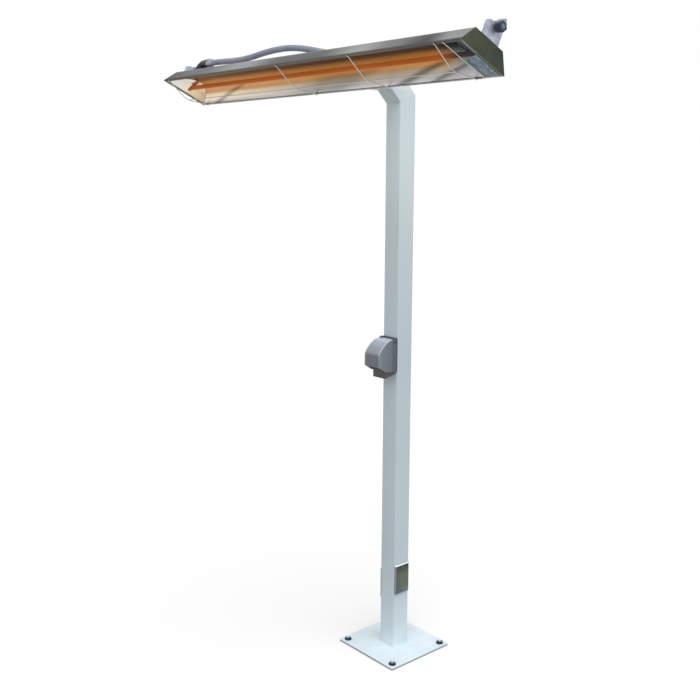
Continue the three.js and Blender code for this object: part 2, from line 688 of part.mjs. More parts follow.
// A skirted knob with a pointer rib, bored for the regulator's shaft.
function addControlKnob() {
  const axis = [0, controlHeight];
  const back = cowlFront - RUNNING_GAP;
  const skirt = rod("y", axis, back - 4, back, KNOB_RADIUS, 32);
  const grip = rod("y", axis, back - KNOB_DEPTH, back - 3, KNOB_RADIUS - 4.5, 32, KNOB_RADIUS - 3);
  const rib = block(
    [-3, back - KNOB_DEPTH - 1, controlHeight - KNOB_RADIUS + 4],
    [3, back - 3, controlHeight + KNOB_RADIUS - 1],
  );
  const bore = rod("y", axis, cowlFront - KNOB_DEPTH / 2 - 1, back + 1, KNOB_SHAFT_RADIUS + 0.2, 16);
  piece(heater, "control_knob", cut(join(skirt, grip, rib), bore), "knobPlastic");
}

// The hood is cut away round the backplate's lugs and hangs on a barrel between them.
function addHood() {
  const width = HOOD_WIDTH / 2;
  const shell = cut(
    prism("x", hoodOutline(0, 0), -width, width),
    prism("x", hoodOutline(HOOD_WALL, 12), -width + HOOD_WALL, width - HOOD_WALL),
  );
  const inner = HINGE_LUG_INNER - RUNNING_GAP;
  const hanger = block([-inner, hingeY - 2, hingeHeight], [inner, hingeY + 2, hoodTop - 1]);
  const room = HINGE_LUG_RADIUS + 1;
  const lugRoom = [-1, 1].flatMap((side) => {
    const [near, far] = span(side, inner, width + 1);
    return [
      onHinge(near, far, room),
      block([near, hingeY, hingeHeight - room], [far, backplateFace + 1, hingeHeight + room]),
    ];
  });
  const solid = join(shell, onHinge(-inner, inner, HINGE_BARREL_RADIUS, 20), hanger);
  const pinBore = onHinge(-width, width, HINGE_PIN_RADIUS + 0.2, 16);
  const plateLow = [-width - 1, backplateFace - SEAT_GAP, BOX_BOTTOM - 1];
  const plateRoom = block(plateLow, [width + 1, 0, backplateTop + 9]);
  piece(heater, "hood_cover", cut(solid, ...lugRoom, pinBore, plateRoom), "greyPlastic");
  const reach = BACKPLATE_WIDTH / 2 - 0.5;
  piece(heater, "hood_hinge_pin", onHinge(-reach, reach, HINGE_PIN_RADIUS, 16), "stainless");
}

// ---------------------------------------------------------------- tilt joint

function addFork() {
  const face = -ARM_REACH - FORK_PLATE_THICK;
  const outline = shifted(roundedBox(TUBE_SIDE, TUBE_SIDE, TUBE_CORNER), 0, armCentre.z);
  const plate = prism("y", outline, face, -ARM_REACH);
  const ears = [-1, 1].map((side) => {
    const inner = FORK_EAR_SPAN / 2 - FORK_EAR_THICK;
    const reach = [side * inner, (side * FORK_EAR_SPAN) / 2].sort((a, b) => a - b);
    const web = points(
      [face + 1, pivotZ - FORK_EAR_HEIGHT / 2],
      [face + 1, pivotZ + FORK_EAR_HEIGHT / 2 - 4],
      [pivotY, pivotZ + LUG_RADIUS],
      [pivotY, pivotZ - LUG_RADIUS],
    );
    const facing = span(side, inner + 1, FORK_EAR_SPAN / 2 + FORK_FACING);
    return join(
      prism("x", web, ...reach),
      rod("x", [pivotY, pivotZ], ...reach, LUG_RADIUS, 24),
      rod("x", [pivotY, pivotZ], ...facing, LUG_RADIUS - 2, 24),
    );
  });
  const bore = rod("x", [pivotY, pivotZ], -TUBE_SIDE, TUBE_SIDE, PIVOT_RADIUS + SEAT_GAP);
  piece(heater, "arm_fork", cut(join(plate, ...ears), bore), "paint");

  const outside = lugInside + TILT_SHEET + SEAT_GAP;
  const shank = rod("x", [pivotY, pivotZ], -outside - 14, outside + 1, PIVOT_RADIUS);
  const crown = rod("x", [pivotY, pivotZ], outside, outside + 7.5, 11, 6);
  piece(heater, "pivot_bolt", join(shank, crown), "zinc");
  const nut = cut(
    rod("x", [pivotY, pivotZ], -outside - 10, -outside, 11, 6),
    rod("x", [pivotY, pivotZ], -outside - 11, -outside + 1, PIVOT_RADIUS + SEAT_GAP),
  );
  piece(heater, "pivot_nut", nut, "zinc");
}

function tiltBoltSpots() {
  return [-1, 1].map((side) => [(side * TILT_BOLT_SPACING) / 2, TILT_BOLT_ACROSS]);
}

// A folded channel on the head's back whose two cheeks reach back to the pivot.
function addTiltBracket() {
  const seat = HEAD_DEPTH + SEAT_GAP;
  const inside = lugInside;
  const outside = inside + TILT_SHEET;
  const foot = block([-outside, TILT_FOOT_FRONT, seat], [outside, TILT_FOOT_BACK, seat + TILT_SHEET]);
  const cheeks = [-1, 1].map((side) => {
    const reach = [side * inside, side * outside].sort((a, b) => a - b);
    const web = points(
      [TILT_FOOT_FRONT, seat + TILT_SHEET - 1],
      [TILT_FOOT_BACK, seat + TILT_SHEET - 1],
      [pivotAcross, pivotUp - LUG_RADIUS],
      [pivotAcross, pivotUp + LUG_RADIUS],
      [pivotAcross - 14, pivotUp + LUG_RADIUS],
      [TILT_FOOT_FRONT, seat + TILT_SHEET + 12],
    );
    return join(prism("x", web, ...reach), rod("x", [pivotAcross, pivotUp], ...reach, LUG_RADIUS, 32));
  });
  const bore = rod("x", [pivotAcross, pivotUp], -TUBE_SIDE, TUBE_SIDE, PIVOT_RADIUS + SEAT_GAP);
  const holes = tiltBoltSpots().map((spot) => {
    return rod("z", spot, seat - 1, seat + TILT_SHEET + 1, TILT_BOLT_RADIUS + SEAT_GAP, 16);
  });
  piece(head, "tilt_bracket", cut(join(foot, ...cheeks), bore, ...holes), "zinc");
  tiltBoltSpots().forEach((spot, i) => {
    const shank = rod("z", spot, HEAD_DEPTH - HOUSING_SHEET - 5, seat + TILT_SHEET + 1, TILT_BOLT_RADIUS, 16);
    const crown = rod("z", spot, seat + TILT_SHEET, seat + TILT_SHEET + 5.3, 7.5, 6);
    piece(head, `tilt_bolt_${i ? "right" : "left"}`, join(shank, crown), "zinc");
  });
}

// ---------------------------------------------------------------- heater housing

// The head's section, drawn in by an inset on every side.
function headSection(inset) {
  const lean = Math.atan2(topInset, HEAD_DEPTH);
  const lower = inset / Math.cos(lean) + inset * Math.tan(lean);
  const upper = inset / Math.cos(lean) - inset * Math.tan(lean);
  return points(
    [lower, inset],
    [MOUTH_WIDTH - lower, inset],
    [MOUTH_WIDTH - topInset - upper, HEAD_DEPTH - inset],
    [topInset + upper, HEAD_DEPTH - inset],
  );
}

function addHousing() {
  const [frontLow, backLow, backHigh, frontHigh] = headSection(HOUSING_SHEET / 2);
  const line = rounded(
    [
      new THREE.Vector2(frontLow.x + HOUSING_LIP, frontLow.y),
      frontLow,
      frontHigh,
      backHigh,
      backLow,
      new THREE.Vector2(backLow.x - HOUSING_LIP, backLow.y),
    ],
    HOUSING_FOLD,
    3,
    true,
  );
  const shell = prism("x", sheetOutline(line, HOUSING_SHEET), -capPlane, capPlane);
  const holes = tiltBoltSpots().map((spot) => {
    return rod("z", spot, HEAD_DEPTH - 4, HEAD_DEPTH + 2, TILT_BOLT_RADIUS + SEAT_GAP, 16);
  });
  holes.push(rod("z", [elbowFootX, ELBOW_FOOT_ACROSS], HEAD_DEPTH - 4, HEAD_DEPTH + 2, ELBOW_BORE));
  piece(head, "housing_shell", cut(shell, ...holes), "stainless");
}

// A closing plate with a flange that slips inside the housing, and a tab for the terminal cover's screw.
function addEndCap(side) {
  const plane = HEAD_LENGTH / 2;
  const plate = prism("x", rounded(headSection(0), HOUSING_FOLD), ...span(side, capPlane, plane));
  const outer = HOUSING_SHEET + SEAT_GAP;
  const flange = cut(
    prism("x", rounded(headSection(outer), 1, 1), ...span(side, capPlane - CAP_FLANGE, capPlane + 0.2)),
    prism("x", headSection(outer + HOUSING_SHEET), ...span(side, capPlane - CAP_FLANGE - 1, capPlane)),
  );
  const cap = join(plate, flange);
  const whole = side === TERMINAL_SIDE ? withTab(cap, outer) : cap;
  piece(head, `end_cap_${side > 0 ? "right" : "left"}`, whole, "darkStainless");
}

// Adds the tab that the terminal cover's screw goes into.
function withTab(cap, height) {
  const plane = HEAD_LENGTH / 2;
  const reach = span(TERMINAL_SIDE, plane - CAP_TAB_DEPTH, capPlane - 1);
  const near = TERMINAL_SCREW_ACROSS - CAP_TAB_WIDTH / 2;
  const far = near + CAP_TAB_WIDTH;
  const tab = block([reach[0], near, height], [reach[1], far, height + HOUSING_SHEET]);
  const spot = [TERMINAL_SIDE * (plane - TERMINAL_SCREW_ALONG), TERMINAL_SCREW_ACROSS];
  return cut(join(cap, tab), rod("z", spot, height - 1, height + 3, SCREW_RADIUS + 0.2, 12));
}

// Height of the reflector's centre line across the mouth.
function troughHeight(across) {
  const share = (across - mouthCentre) / reflectorHalf;
  return REFLECTOR_CROWN - (REFLECTOR_CROWN - reflectorEdgeHeight) * share * share;
}

function troughLine(steps) {
  return Array.from({ length: steps + 1 }, (_, i) => {
    const across = REFLECTOR_EDGE + (2 * reflectorHalf * i) / steps;
    return new THREE.Vector2(across, troughHeight(across));
  });
}

// The space beyond the sloping plane at one end, moved along X by an offset.
function beyondRamp(side, offset) {
  const reach = HEAD_LENGTH;
  const foot = side * (rampFoot + offset);
  const top = side * (rampFoot + offset - (reach - RAMP_FOOT_HEIGHT) / rampSlope);
  const low = side * (rampFoot + offset + (RAMP_FOOT_HEIGHT + reach) / rampSlope);
  const away = side * 9 * reach;
  const near = [[low, -reach], [foot, RAMP_FOOT_HEIGHT], [top, reach]];
  const outline = points(...near, [away, reach], [away, -reach]);
  return prism("y", side > 0 ? outline : outline.reverse(), -reach, reach);
}

function addReflector() {
  const edge = reflectorEdgeHeight;
  const foot = HOUSING_SHEET + HOUSING_FOLD + 2;
  const line = [
    new THREE.Vector2(foot, edge),
    ...troughLine(20),
    new THREE.Vector2(MOUTH_WIDTH - foot, edge),
  ];
  const end = rampFoot - 2;
  const trough = prism("x", sheetOutline(line, REFLECTOR_SHEET), -end, end);
  piece(head, "reflector", cut(trough, beyondRamp(-1, -SEAT_GAP), beyondRamp(1, -SEAT_GAP)), "mirror");
}

// A sloping plate that closes one end of the trough, with a hole for the element.
function addEndReflector(side) {
  const clear = REFLECTOR_SHEET / 2 + SEAT_GAP;
  const under = troughLine(20).map((spot) => new THREE.Vector2(spot.x, Math.max(spot.y - 1.4 * clear, 0)));
  under[0].y = -1;
  under[under.length - 1].y = -1;
  const sorted = [side * (rampFoot - 2 * REFLECTOR_CROWN / rampSlope), side * rampFoot].sort((a, b) => a - b);
  const room = common(prism("x", under, ...sorted), beyondRamp(side, 0));
  const thin = cut(room, beyondRamp(side, REFLECTOR_SHEET / Math.sin(rad(RAMP_ANGLE))));
  const hole = rod("x", [mouthCentre, ELEMENT_HEIGHT], ...sorted, QUARTZ_RADIUS + 1.5, 24);
  const floor = block([sorted[0] - 1, -1, -5], [sorted[1] + 1, MOUTH_WIDTH, RAMP_FOOT_HEIGHT]);
  piece(head, `end_reflector_${side > 0 ? "right" : "left"}`, cut(thin, hole, floor), "mirror");
}

// ---------------------------------------------------------------- element

function addElement() {
  const centre = [mouthCentre, ELEMENT_HEIGHT];
  const tubeEnd = ceramicInner + CERAMIC_SOCKET - SEAT_GAP;
  const tube = pipe("x", centre, -tubeEnd, tubeEnd, QUARTZ_RADIUS, QUARTZ_RADIUS - QUARTZ_WALL, 20);
  piece(head, "quartz_tube", tube, "quartz");
  piece(head, "heating_filament", rod("x", centre, -tubeEnd, tubeEnd, FILAMENT_RADIUS, 10), "filament");
  for (const side of [-1, 1]) {
    const name = side > 0 ? "right" : "left";
    const bore = span(side, ceramicInner - 1, ceramicInner + CERAMIC_SOCKET);
    const socket = cut(
      rod("x", centre, ...span(side, ceramicInner, ceramicOuter), CERAMIC_RADIUS),
      rod("x", centre, ...bore, QUARTZ_RADIUS + SEAT_GAP, 20),
    );
    piece(head, `ceramic_holder_${name}`, socket, "ceramic");
    addElementBracket(side, name);
  }
}

// A folded clip that hangs from the housing's back and forks over the ceramic.
function addElementBracket(side, name) {
  const top = HEAD_DEPTH - HOUSING_SHEET - SEAT_GAP;
  const stand = ceramicInner + CERAMIC_SOCKET + 1;
  const width = ELEMENT_BRACKET_WIDTH / 2;
  const upright = prism(
    "x",
    points(
      [mouthCentre - width, ELEMENT_HEIGHT],
      [mouthCentre + width, ELEMENT_HEIGHT],
      [mouthCentre + width, top],
      [mouthCentre - width, top],
    ),
    ...span(side, stand, stand + ELEMENT_BRACKET_SHEET),
  );
  const [low, high] = span(side, stand - 16, stand + 0.5);
  const under = top - ELEMENT_BRACKET_SHEET;
  const foot = block([low, mouthCentre - width, under], [high, mouthCentre + width, top]);
  const through = span(side, stand - 1, stand + 3);
  const fork = rod("x", [mouthCentre, ELEMENT_HEIGHT], ...through, CERAMIC_RADIUS + SEAT_GAP);
  piece(head, `element_bracket_${name}`, cut(join(upright, foot), fork), "zinc");
}

// A flat plate flush with the housing's lips, cut on a slant at the front.
function addTerminalCover(side) {
  const name = side > 0 ? "right" : "left";
  const end = HEAD_LENGTH / 2;
  const back = MOUTH_WIDTH - HOUSING_LIP - HOUSING_FOLD;
  const [outer, inner] = [side * (end - TERMINAL_COVER_OUTER), side * (end - TERMINAL_COVER_INNER)];
  const front = [TERMINAL_COVER_FRONT_OUTER, TERMINAL_COVER_FRONT_INNER];
  const outline = points([outer, front[0]], [outer, back], [inner, back], [inner, front[1]]);
  const spot = [side * (end - TERMINAL_SCREW_ALONG), TERMINAL_SCREW_ACROSS];
  const bore = rod("z", spot, -1, HOUSING_SHEET + 1, SCREW_RADIUS + SCREW_HOLE_CLEARANCE, 12);
  piece(head, `terminal_cover_${name}`, cut(prism("z", outline, 0, HOUSING_SHEET), bore), "stainless");
  const screw = join(
    rod("z", spot, -1, HOUSING_SHEET + 3, SCREW_RADIUS, 12),
    rod("z", spot, -SCREW_HEAD_HEIGHT, 0, SCREW_HEAD_RADIUS, 16),
  );
  piece(head, `terminal_screw_${name}`, screw, "zinc");
}

// ---------------------------------------------------------------- wire guard

// Bent hoops across the mouth and a long wire along their back corner. The right hoop's back foot runs on
// along the lip to a straight end wire.
function addGuard() {
  const rest = -WIRE_RADIUS - SEAT_GAP;
  const [front, back] = [WIRE_RADIUS + 1, MOUTH_WIDTH - WIRE_RADIUS - 1];
  const section = circle(WIRE_RADIUS, 6);
  const along = new THREE.Vector3(1, 0, 0);
  const profile = rounded(
    points(
      [front, rest],
      [front + HOOP_FOOT, rest],
      [HOOP_FLAT_FRONT, -HOOP_DROP],
      [HOOP_FLAT_BACK, -HOOP_DROP],
      [back - HOOP_FOOT, rest],
      [back, rest],
    ),
    HOOP_BEND,
    3,
    true,
  );
  const pitched = Array.from({ length: HOOP_COUNT }, (_, i) => hoopRightmost - i * HOOP_PITCH);
  const wires = [guardLeft, ...pitched].map((x) =>
    mitred(section, profile.map((spot) => new THREE.Vector3(x, spot.x, spot.y)), along),
  );
  const low = 1.4 * WIRE_RADIUS - HOOP_DROP;
  wires.push(rod("x", [HOOP_FLAT_BACK, low], guardLeft, hoopRightmost, WIRE_RADIUS, 8));
  wires.push(rod("x", [back - HOOP_FOOT / 2, rest], hoopRightmost, guardRight, WIRE_RADIUS, 8));
  wires.push(rod("y", [guardRight, rest], front, back, WIRE_RADIUS, 8));
  piece(head, "wire_guard", join(wires[0], ...wires.slice(1)), "wire");
}

// ---------------------------------------------------------------- end brackets

// A folded plate standing off the housing's back. Its top edge is level at rest and has a shallow notch.
function addEndBracket(side) {
  const name = side > 0 ? "right" : "left";
  const end = HEAD_LENGTH / 2;
  const seat = HEAD_DEPTH + SEAT_GAP;
  const slant = (BRACKET_BACK_HEIGHT - BRACKET_FRONT_HEIGHT) / (BRACKET_BACK - BRACKET_FRONT);
  const edge = (across, drop = 0) => {
    const height = HEAD_DEPTH + BRACKET_FRONT_HEIGHT + slant * (across - BRACKET_FRONT);
    return [across, height - drop];
  };
  const middle = (BRACKET_FRONT + BRACKET_BACK) / 2 - BRACKET_NOTCH_WIDTH / 3;
  const outline = [
    ...points([BRACKET_FRONT, seat], [BRACKET_BACK, seat]),
    ...rounded(
      points(
        [BRACKET_BACK, seat + 1],
        edge(BRACKET_BACK),
        edge(middle + BRACKET_NOTCH_WIDTH * 0.75),
        edge(middle + BRACKET_NOTCH_WIDTH / 2, BRACKET_NOTCH_DEPTH),
        edge(middle - BRACKET_NOTCH_WIDTH / 2, BRACKET_NOTCH_DEPTH),
        edge(middle - BRACKET_NOTCH_WIDTH * 0.75),
        edge(BRACKET_FRONT),
        [BRACKET_FRONT, seat + 1],
      ),
      BRACKET_CORNER,
      2,
      true,
    ),
  ];
  const upright = prism("x", outline, ...span(side, end - BRACKET_SHEET, end));
  const reach = span(side, end - BRACKET_FOOT, end - 0.5);
  const foot = block([reach[0], BRACKET_FRONT, seat], [reach[1], BRACKET_BACK, seat + BRACKET_SHEET]);
  const spot = [BRACKET_HOLE_ACROSS, HEAD_DEPTH + BRACKET_HOLE_HEIGHT];
  const through = span(side, end - BRACKET_SHEET - 1, end + 1);
  const bore = rod("x", spot, ...through, BRACKET_STUD_RADIUS + SEAT_GAP, 16);
  piece(head, `end_bracket_${name}`, cut(join(upright, foot), bore), "zinc");
  addHandKnob(side, name, spot);
}

// A lobed knob, with its stud through the bracket and a lock nut behind.
function addHandKnob(side, name, spot) {
  const start = HEAD_LENGTH / 2 + RUNNING_GAP;
  const turns = Array.from({ length: 36 }, (_, i) => {
    const angle = (2 * Math.PI * i) / 36;
    const reach = HAND_KNOB_RADIUS * (0.92 + 0.08 * Math.cos(HAND_KNOB_LOBES * angle));
    return new THREE.Vector2(spot[0] + reach * Math.cos(angle), spot[1] + reach * Math.sin(angle));
  });
  const grip = prism("x", turns, ...span(side, start + 4, start + 4 + HAND_KNOB_THICK));
  const collar = rod("x", spot, ...span(side, start, start + 5), HAND_KNOB_RADIUS - 5, 20);
  const back = HEAD_LENGTH / 2 - BRACKET_SHEET - RUNNING_GAP;
  const stud = rod("x", spot, ...span(side, back - 10, start + 1), BRACKET_STUD_RADIUS, 16);
  const nut = rod("x", spot, ...span(side, back - 6, back), BRACKET_STUD_RADIUS + 4, 6);
  piece(head, `bracket_knob_${name}`, join(grip, collar, stud, nut), "knobPlastic");
}

// ---------------------------------------------------------------- conduit and its fittings

// A line in one plane that rises, turns through a quarter circle and runs on along a direction.
function elbowLine(foot, rise, bend, heading, run) {
  const line = [foot.clone()];
  for (let step = 0; step <= 6; step++) {
    const angle = (step / 6) * (Math.PI / 2);
    const up = rise - bend + bend * Math.sin(angle);
    const out = bend * (1 - Math.cos(angle));
    line.push(foot.clone().addScaledVector(heading, out).add(new THREE.Vector3(0, 0, up)));
  }
  line.push(foot.clone().addScaledVector(heading, run).add(new THREE.Vector3(0, 0, rise)));
  return line;
}

// The same line with its first and last points moved outwards by an overrun.
function overrun(line, extra) {
  const [first, second] = line;
  const [last, previous] = [line.at(-1), line.at(-2)];
  return [
    first.clone().add(first.clone().sub(second).setLength(extra)),
    ...line.slice(1, -1),
    last.clone().add(last.clone().sub(previous).setLength(extra)),
  ];
}

// A black swept elbow on a round flange, with a grey gland nut on its outlet.
function addHeadElbow() {
  const seat = HEAD_DEPTH + SEAT_GAP;
  const foot = new THREE.Vector3(elbowFootX, ELBOW_FOOT_ACROSS, seat);
  const rise = CONDUIT_RISE - SEAT_GAP;
  const line = elbowLine(foot, rise, ELBOW_BEND, new THREE.Vector3(1, 0, 0), elbowOutletX - elbowFootX);
  const across = new THREE.Vector3(0, 1, 0);
  const body = mitred(circle(ELBOW_RADIUS, 18), line, across);
  const flange = rod("z", [foot.x, foot.y], seat, seat + ELBOW_FLANGE_THICK, ELBOW_FLANGE_RADIUS);
  const mouth = [ELBOW_FOOT_ACROSS, HEAD_DEPTH + CONDUIT_RISE];
  const collar = rod("x", mouth, elbowOutletX - 12, elbowOutletX, ELBOW_RADIUS + 1.5, 20);
  const bore = mitred(circle(ELBOW_BORE, 12), overrun(line, 1), across);
  piece(head, "head_elbow", cut(join(body, flange, collar), bore), "blackPlastic");
  const start = elbowOutletX + SEAT_GAP;
  const nut = rod("x", mouth, start, start + GLAND_LENGTH * 0.55, GLAND_RADIUS, 8);
  const [shoulder, nose] = [start + GLAND_LENGTH * 0.5, start + GLAND_LENGTH];
  const dome = rod("x", mouth, shoulder, nose, GLAND_RADIUS - 2, 20, CONDUIT_RADIUS + 1.5);
  const through = rod("x", mouth, start - 1, start + GLAND_LENGTH + 1, ELBOW_BORE, 16);
  piece(head, "conduit_gland", cut(join(nut, dome), through), "zinc");
}

// A die-cast elbow on top of the arm, its outlet facing the heater.
function addArmElbow() {
  const foot = new THREE.Vector3(ARM_ELBOW_X, armElbowY, armTop);
  const line = elbowLine(foot, ARM_ELBOW_RISE, 16, new THREE.Vector3(0, -1, 0), ARM_ELBOW_REACH);
  const across = new THREE.Vector3(1, 0, 0);
  const body = mitred(circle(ELBOW_RADIUS - 1, 16), line, across);
  const base = rod("z", [foot.x, foot.y], armTop, armTop + 7, ELBOW_RADIUS + 3, 6);
  const mouth = [ARM_ELBOW_X, armTop + ARM_ELBOW_RISE];
  const face = armElbowY - ARM_ELBOW_REACH;
  const collar = rod("y", mouth, face, face + 10, ELBOW_RADIUS + 1.5, 8);
  const bore = mitred(circle(ELBOW_BORE, 12), overrun(line, 1), across);
  piece(heater, "arm_elbow", cut(join(body, base, collar), bore), "zinc");
}

// Points the conduit passes between its two fittings: share of the way, then how far behind and above the
// straight line between them.
const CONDUIT_ROUTE = [
  [0.14, -22, -0.7],
  [0.235, -36.8, -1.9],
  [0.358, -54.3, 0.1],
  [0.45, -65.5, 5.8],
  [0.54, -72.4, 14.5],
  [0.628, -76, 21.3],
  [0.704, -75.6, 24.9],
  [0.783, -72.7, 23.5],
  [0.859, -65.3, 17.1],
  [0.926, -51.4, 8.7],
  [0.974, -34.3, 3],
];

// The conduit runs straight for one diameter out of each fitting.
function conduitLine() {
  head.updateMatrixWorld(true);
  const outletX = elbowOutletX + 2 * SEAT_GAP + GLAND_LENGTH;
  const outlet = new THREE.Vector3(outletX, ELBOW_FOOT_ACROSS, HEAD_DEPTH + CONDUIT_RISE);
  const start = outlet.applyMatrix4(head.matrixWorld);
  const end = new THREE.Vector3(ARM_ELBOW_X, armElbowY - ARM_ELBOW_REACH - SEAT_GAP, armTop + ARM_ELBOW_RISE);
  const route = CONDUIT_ROUTE.map(([share, back, up]) => {
    return start.clone().lerp(end, share).add(new THREE.Vector3(0, back, up));
  });
  return [
    start,
    start.clone().add(new THREE.Vector3(2 * CONDUIT_RADIUS, 0, 0)),
    ...route,
    end.clone().add(new THREE.Vector3(0, -CONDUIT_RADIUS, 0)),
    end,
  ];
}

function addConduit() {
  const curve = new THREE.CatmullRomCurve3(conduitLine(), false, "centripetal");
  const shape = new THREE.Shape(circle(CONDUIT_RADIUS, 10));
  const geometry = new THREE.ExtrudeGeometry(shape, { steps: 38, bevelEnabled: false, extrudePath: curve });
  piece(heater, "flexible_conduit", geometry, "conduit");
}

// ---------------------------------------------------------------- the whole tower

addBase();
addPost();
addAccessCover(-1);
addAccessCover(1);
addBackplate();
addControlBox();
addHood();
addFork();
addTiltBracket();
addHousing();
addReflector();
addElement();
addGuard();
for (const side of [-1, 1]) {
  addEndCap(side);
  addEndReflector(side);
  addEndBracket(side);
}
addTerminalCover(TERMINAL_SIDE);
addHeadElbow();
addArmElbow();
addConduit();

export default heater;
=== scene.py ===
"""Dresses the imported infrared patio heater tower: finishes, fine detail, light and camera."""

import json
import math

import bmesh
import bpy
from mathutils import Matrix, Vector

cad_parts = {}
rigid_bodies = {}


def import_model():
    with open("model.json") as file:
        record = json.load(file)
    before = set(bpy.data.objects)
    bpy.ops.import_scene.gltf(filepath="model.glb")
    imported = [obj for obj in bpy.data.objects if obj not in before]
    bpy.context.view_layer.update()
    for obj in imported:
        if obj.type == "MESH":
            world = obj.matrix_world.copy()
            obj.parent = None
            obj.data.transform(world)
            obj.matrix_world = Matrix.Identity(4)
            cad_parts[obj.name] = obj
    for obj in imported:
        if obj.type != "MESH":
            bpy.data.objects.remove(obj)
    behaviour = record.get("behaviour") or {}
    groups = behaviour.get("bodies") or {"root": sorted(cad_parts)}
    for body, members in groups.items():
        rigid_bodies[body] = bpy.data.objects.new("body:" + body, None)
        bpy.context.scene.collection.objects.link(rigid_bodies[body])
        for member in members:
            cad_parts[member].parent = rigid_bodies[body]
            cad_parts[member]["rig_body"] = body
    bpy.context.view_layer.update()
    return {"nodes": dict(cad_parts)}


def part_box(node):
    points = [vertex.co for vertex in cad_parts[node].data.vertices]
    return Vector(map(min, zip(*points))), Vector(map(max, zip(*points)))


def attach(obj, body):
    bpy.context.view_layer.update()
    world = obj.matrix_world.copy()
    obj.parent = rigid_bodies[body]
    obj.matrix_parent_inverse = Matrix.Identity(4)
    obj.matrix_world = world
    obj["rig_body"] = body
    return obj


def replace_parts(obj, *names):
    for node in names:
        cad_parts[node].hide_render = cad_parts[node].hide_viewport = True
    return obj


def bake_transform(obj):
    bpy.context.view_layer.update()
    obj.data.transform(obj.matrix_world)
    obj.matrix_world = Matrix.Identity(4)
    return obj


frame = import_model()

NODES = frame["nodes"]
MM = 0.001
UP = Vector((0, 0, 1))
SIDES = ("left", "right")
CORNERS = [f"{end}_{side}" for end in ("front", "back") for side in SIDES]

# ---------------------------------------------------------------- places on the part at rest

HEAD_TILT = math.radians(25.5)
FRONT_LIP = Vector((0, -0.531, 2.193))
HEAD_HALF_LENGTH = 0.778
HEAD_DEPTH = 0.058
MOUTH_WIDTH = 0.203
FOLD_ACROSS = 38.5 * MM  # front lip to the fold at the housing's back
KNOB_AXIS = (0.114, 0.103)  # of the end brackets' knobs: across and up from the front lip
POST_HALF = 38.1 * MM
POST_CORNER = 4 * MM
PLATE_TOP = 8 * MM
NUT_FOOT = PLATE_TOP + 2.5 * MM
STUD_TOP = PLATE_TOP + 13 * MM
HOOD_HALF_WIDTH = 40 * MM


def head_point(x, across, up):
    """A point of the head at rest: x along it, across from its front lip, up from its mouth."""
    c, s = math.cos(HEAD_TILT), math.sin(HEAD_TILT)
    return FRONT_LIP + Vector((x, c * across + s * up, c * up - s * across))


MOUTH_OUT = head_point(0, 0, -1) - head_point(0, 0, 0)

# ---------------------------------------------------------------- camera

FOCAL_LENGTH = 48.43
SENSOR_WIDTH = 36
CAMERA_PLACE = Vector((2.5347, -2.4266, 1.8347))
CAMERA_YAW = math.radians(49.202)
CAMERA_PITCH = math.radians(8.464)
CAMERA_ROLL = math.radians(0.345)
CAMERA_SHIFT = -0.05
CAMERA_REACH = 100  # metres


def make_camera():
    """The photograph's viewpoint: turned left of +Y, pitched down a little, with a small shift."""
    yaw, pitch, roll = CAMERA_YAW, CAMERA_PITCH, CAMERA_ROLL
    level = Vector((math.cos(yaw), math.sin(yaw), 0))
    ahead = Vector((-math.sin(yaw) * math.cos(pitch), math.cos(yaw) * math.cos(pitch),
                    -math.sin(pitch)))
    upright = level.cross(ahead)
    right = math.cos(roll) * level + math.sin(roll) * upright
    up = math.cos(roll) * upright - math.sin(roll) * level
    camera = bpy.data.objects.new("camera", bpy.data.cameras.new("camera"))
    camera.data.sensor_width = SENSOR_WIDTH
    camera.data.lens = FOCAL_LENGTH
    camera.data.shift_y = CAMERA_SHIFT
    camera.data.clip_end = CAMERA_REACH
    turn = Matrix((right, up, -ahead)).transposed().to_4x4()
    camera.matrix_world = Matrix.Translation(CAMERA_PLACE) @ turn
    bpy.context.scene.collection.objects.link(camera)
    bpy.context.scene.camera = camera


make_camera()

# ---------------------------------------------------------------- material helpers

EDGE_TINT = 0.55  # how bright metals turn where they are seen at a slant
NOTHING = (0, 0, 0, 1)
WHITE = (1, 1, 1, 1)


def srgb(red, green, blue):
    """A display colour, 0 to 255, as the linear colour that shaders use."""
    def linear(value):
        value /= 255
        return value / 12.92 if value <= 0.04045 else ((value + 0.055) / 1.055) ** 2.4
    return (linear(red), linear(green), linear(blue), 1)


def grey(level):
    """A display grey with the faint blue of daylight on steel."""
    return srgb(level, level + 1, level + 2)


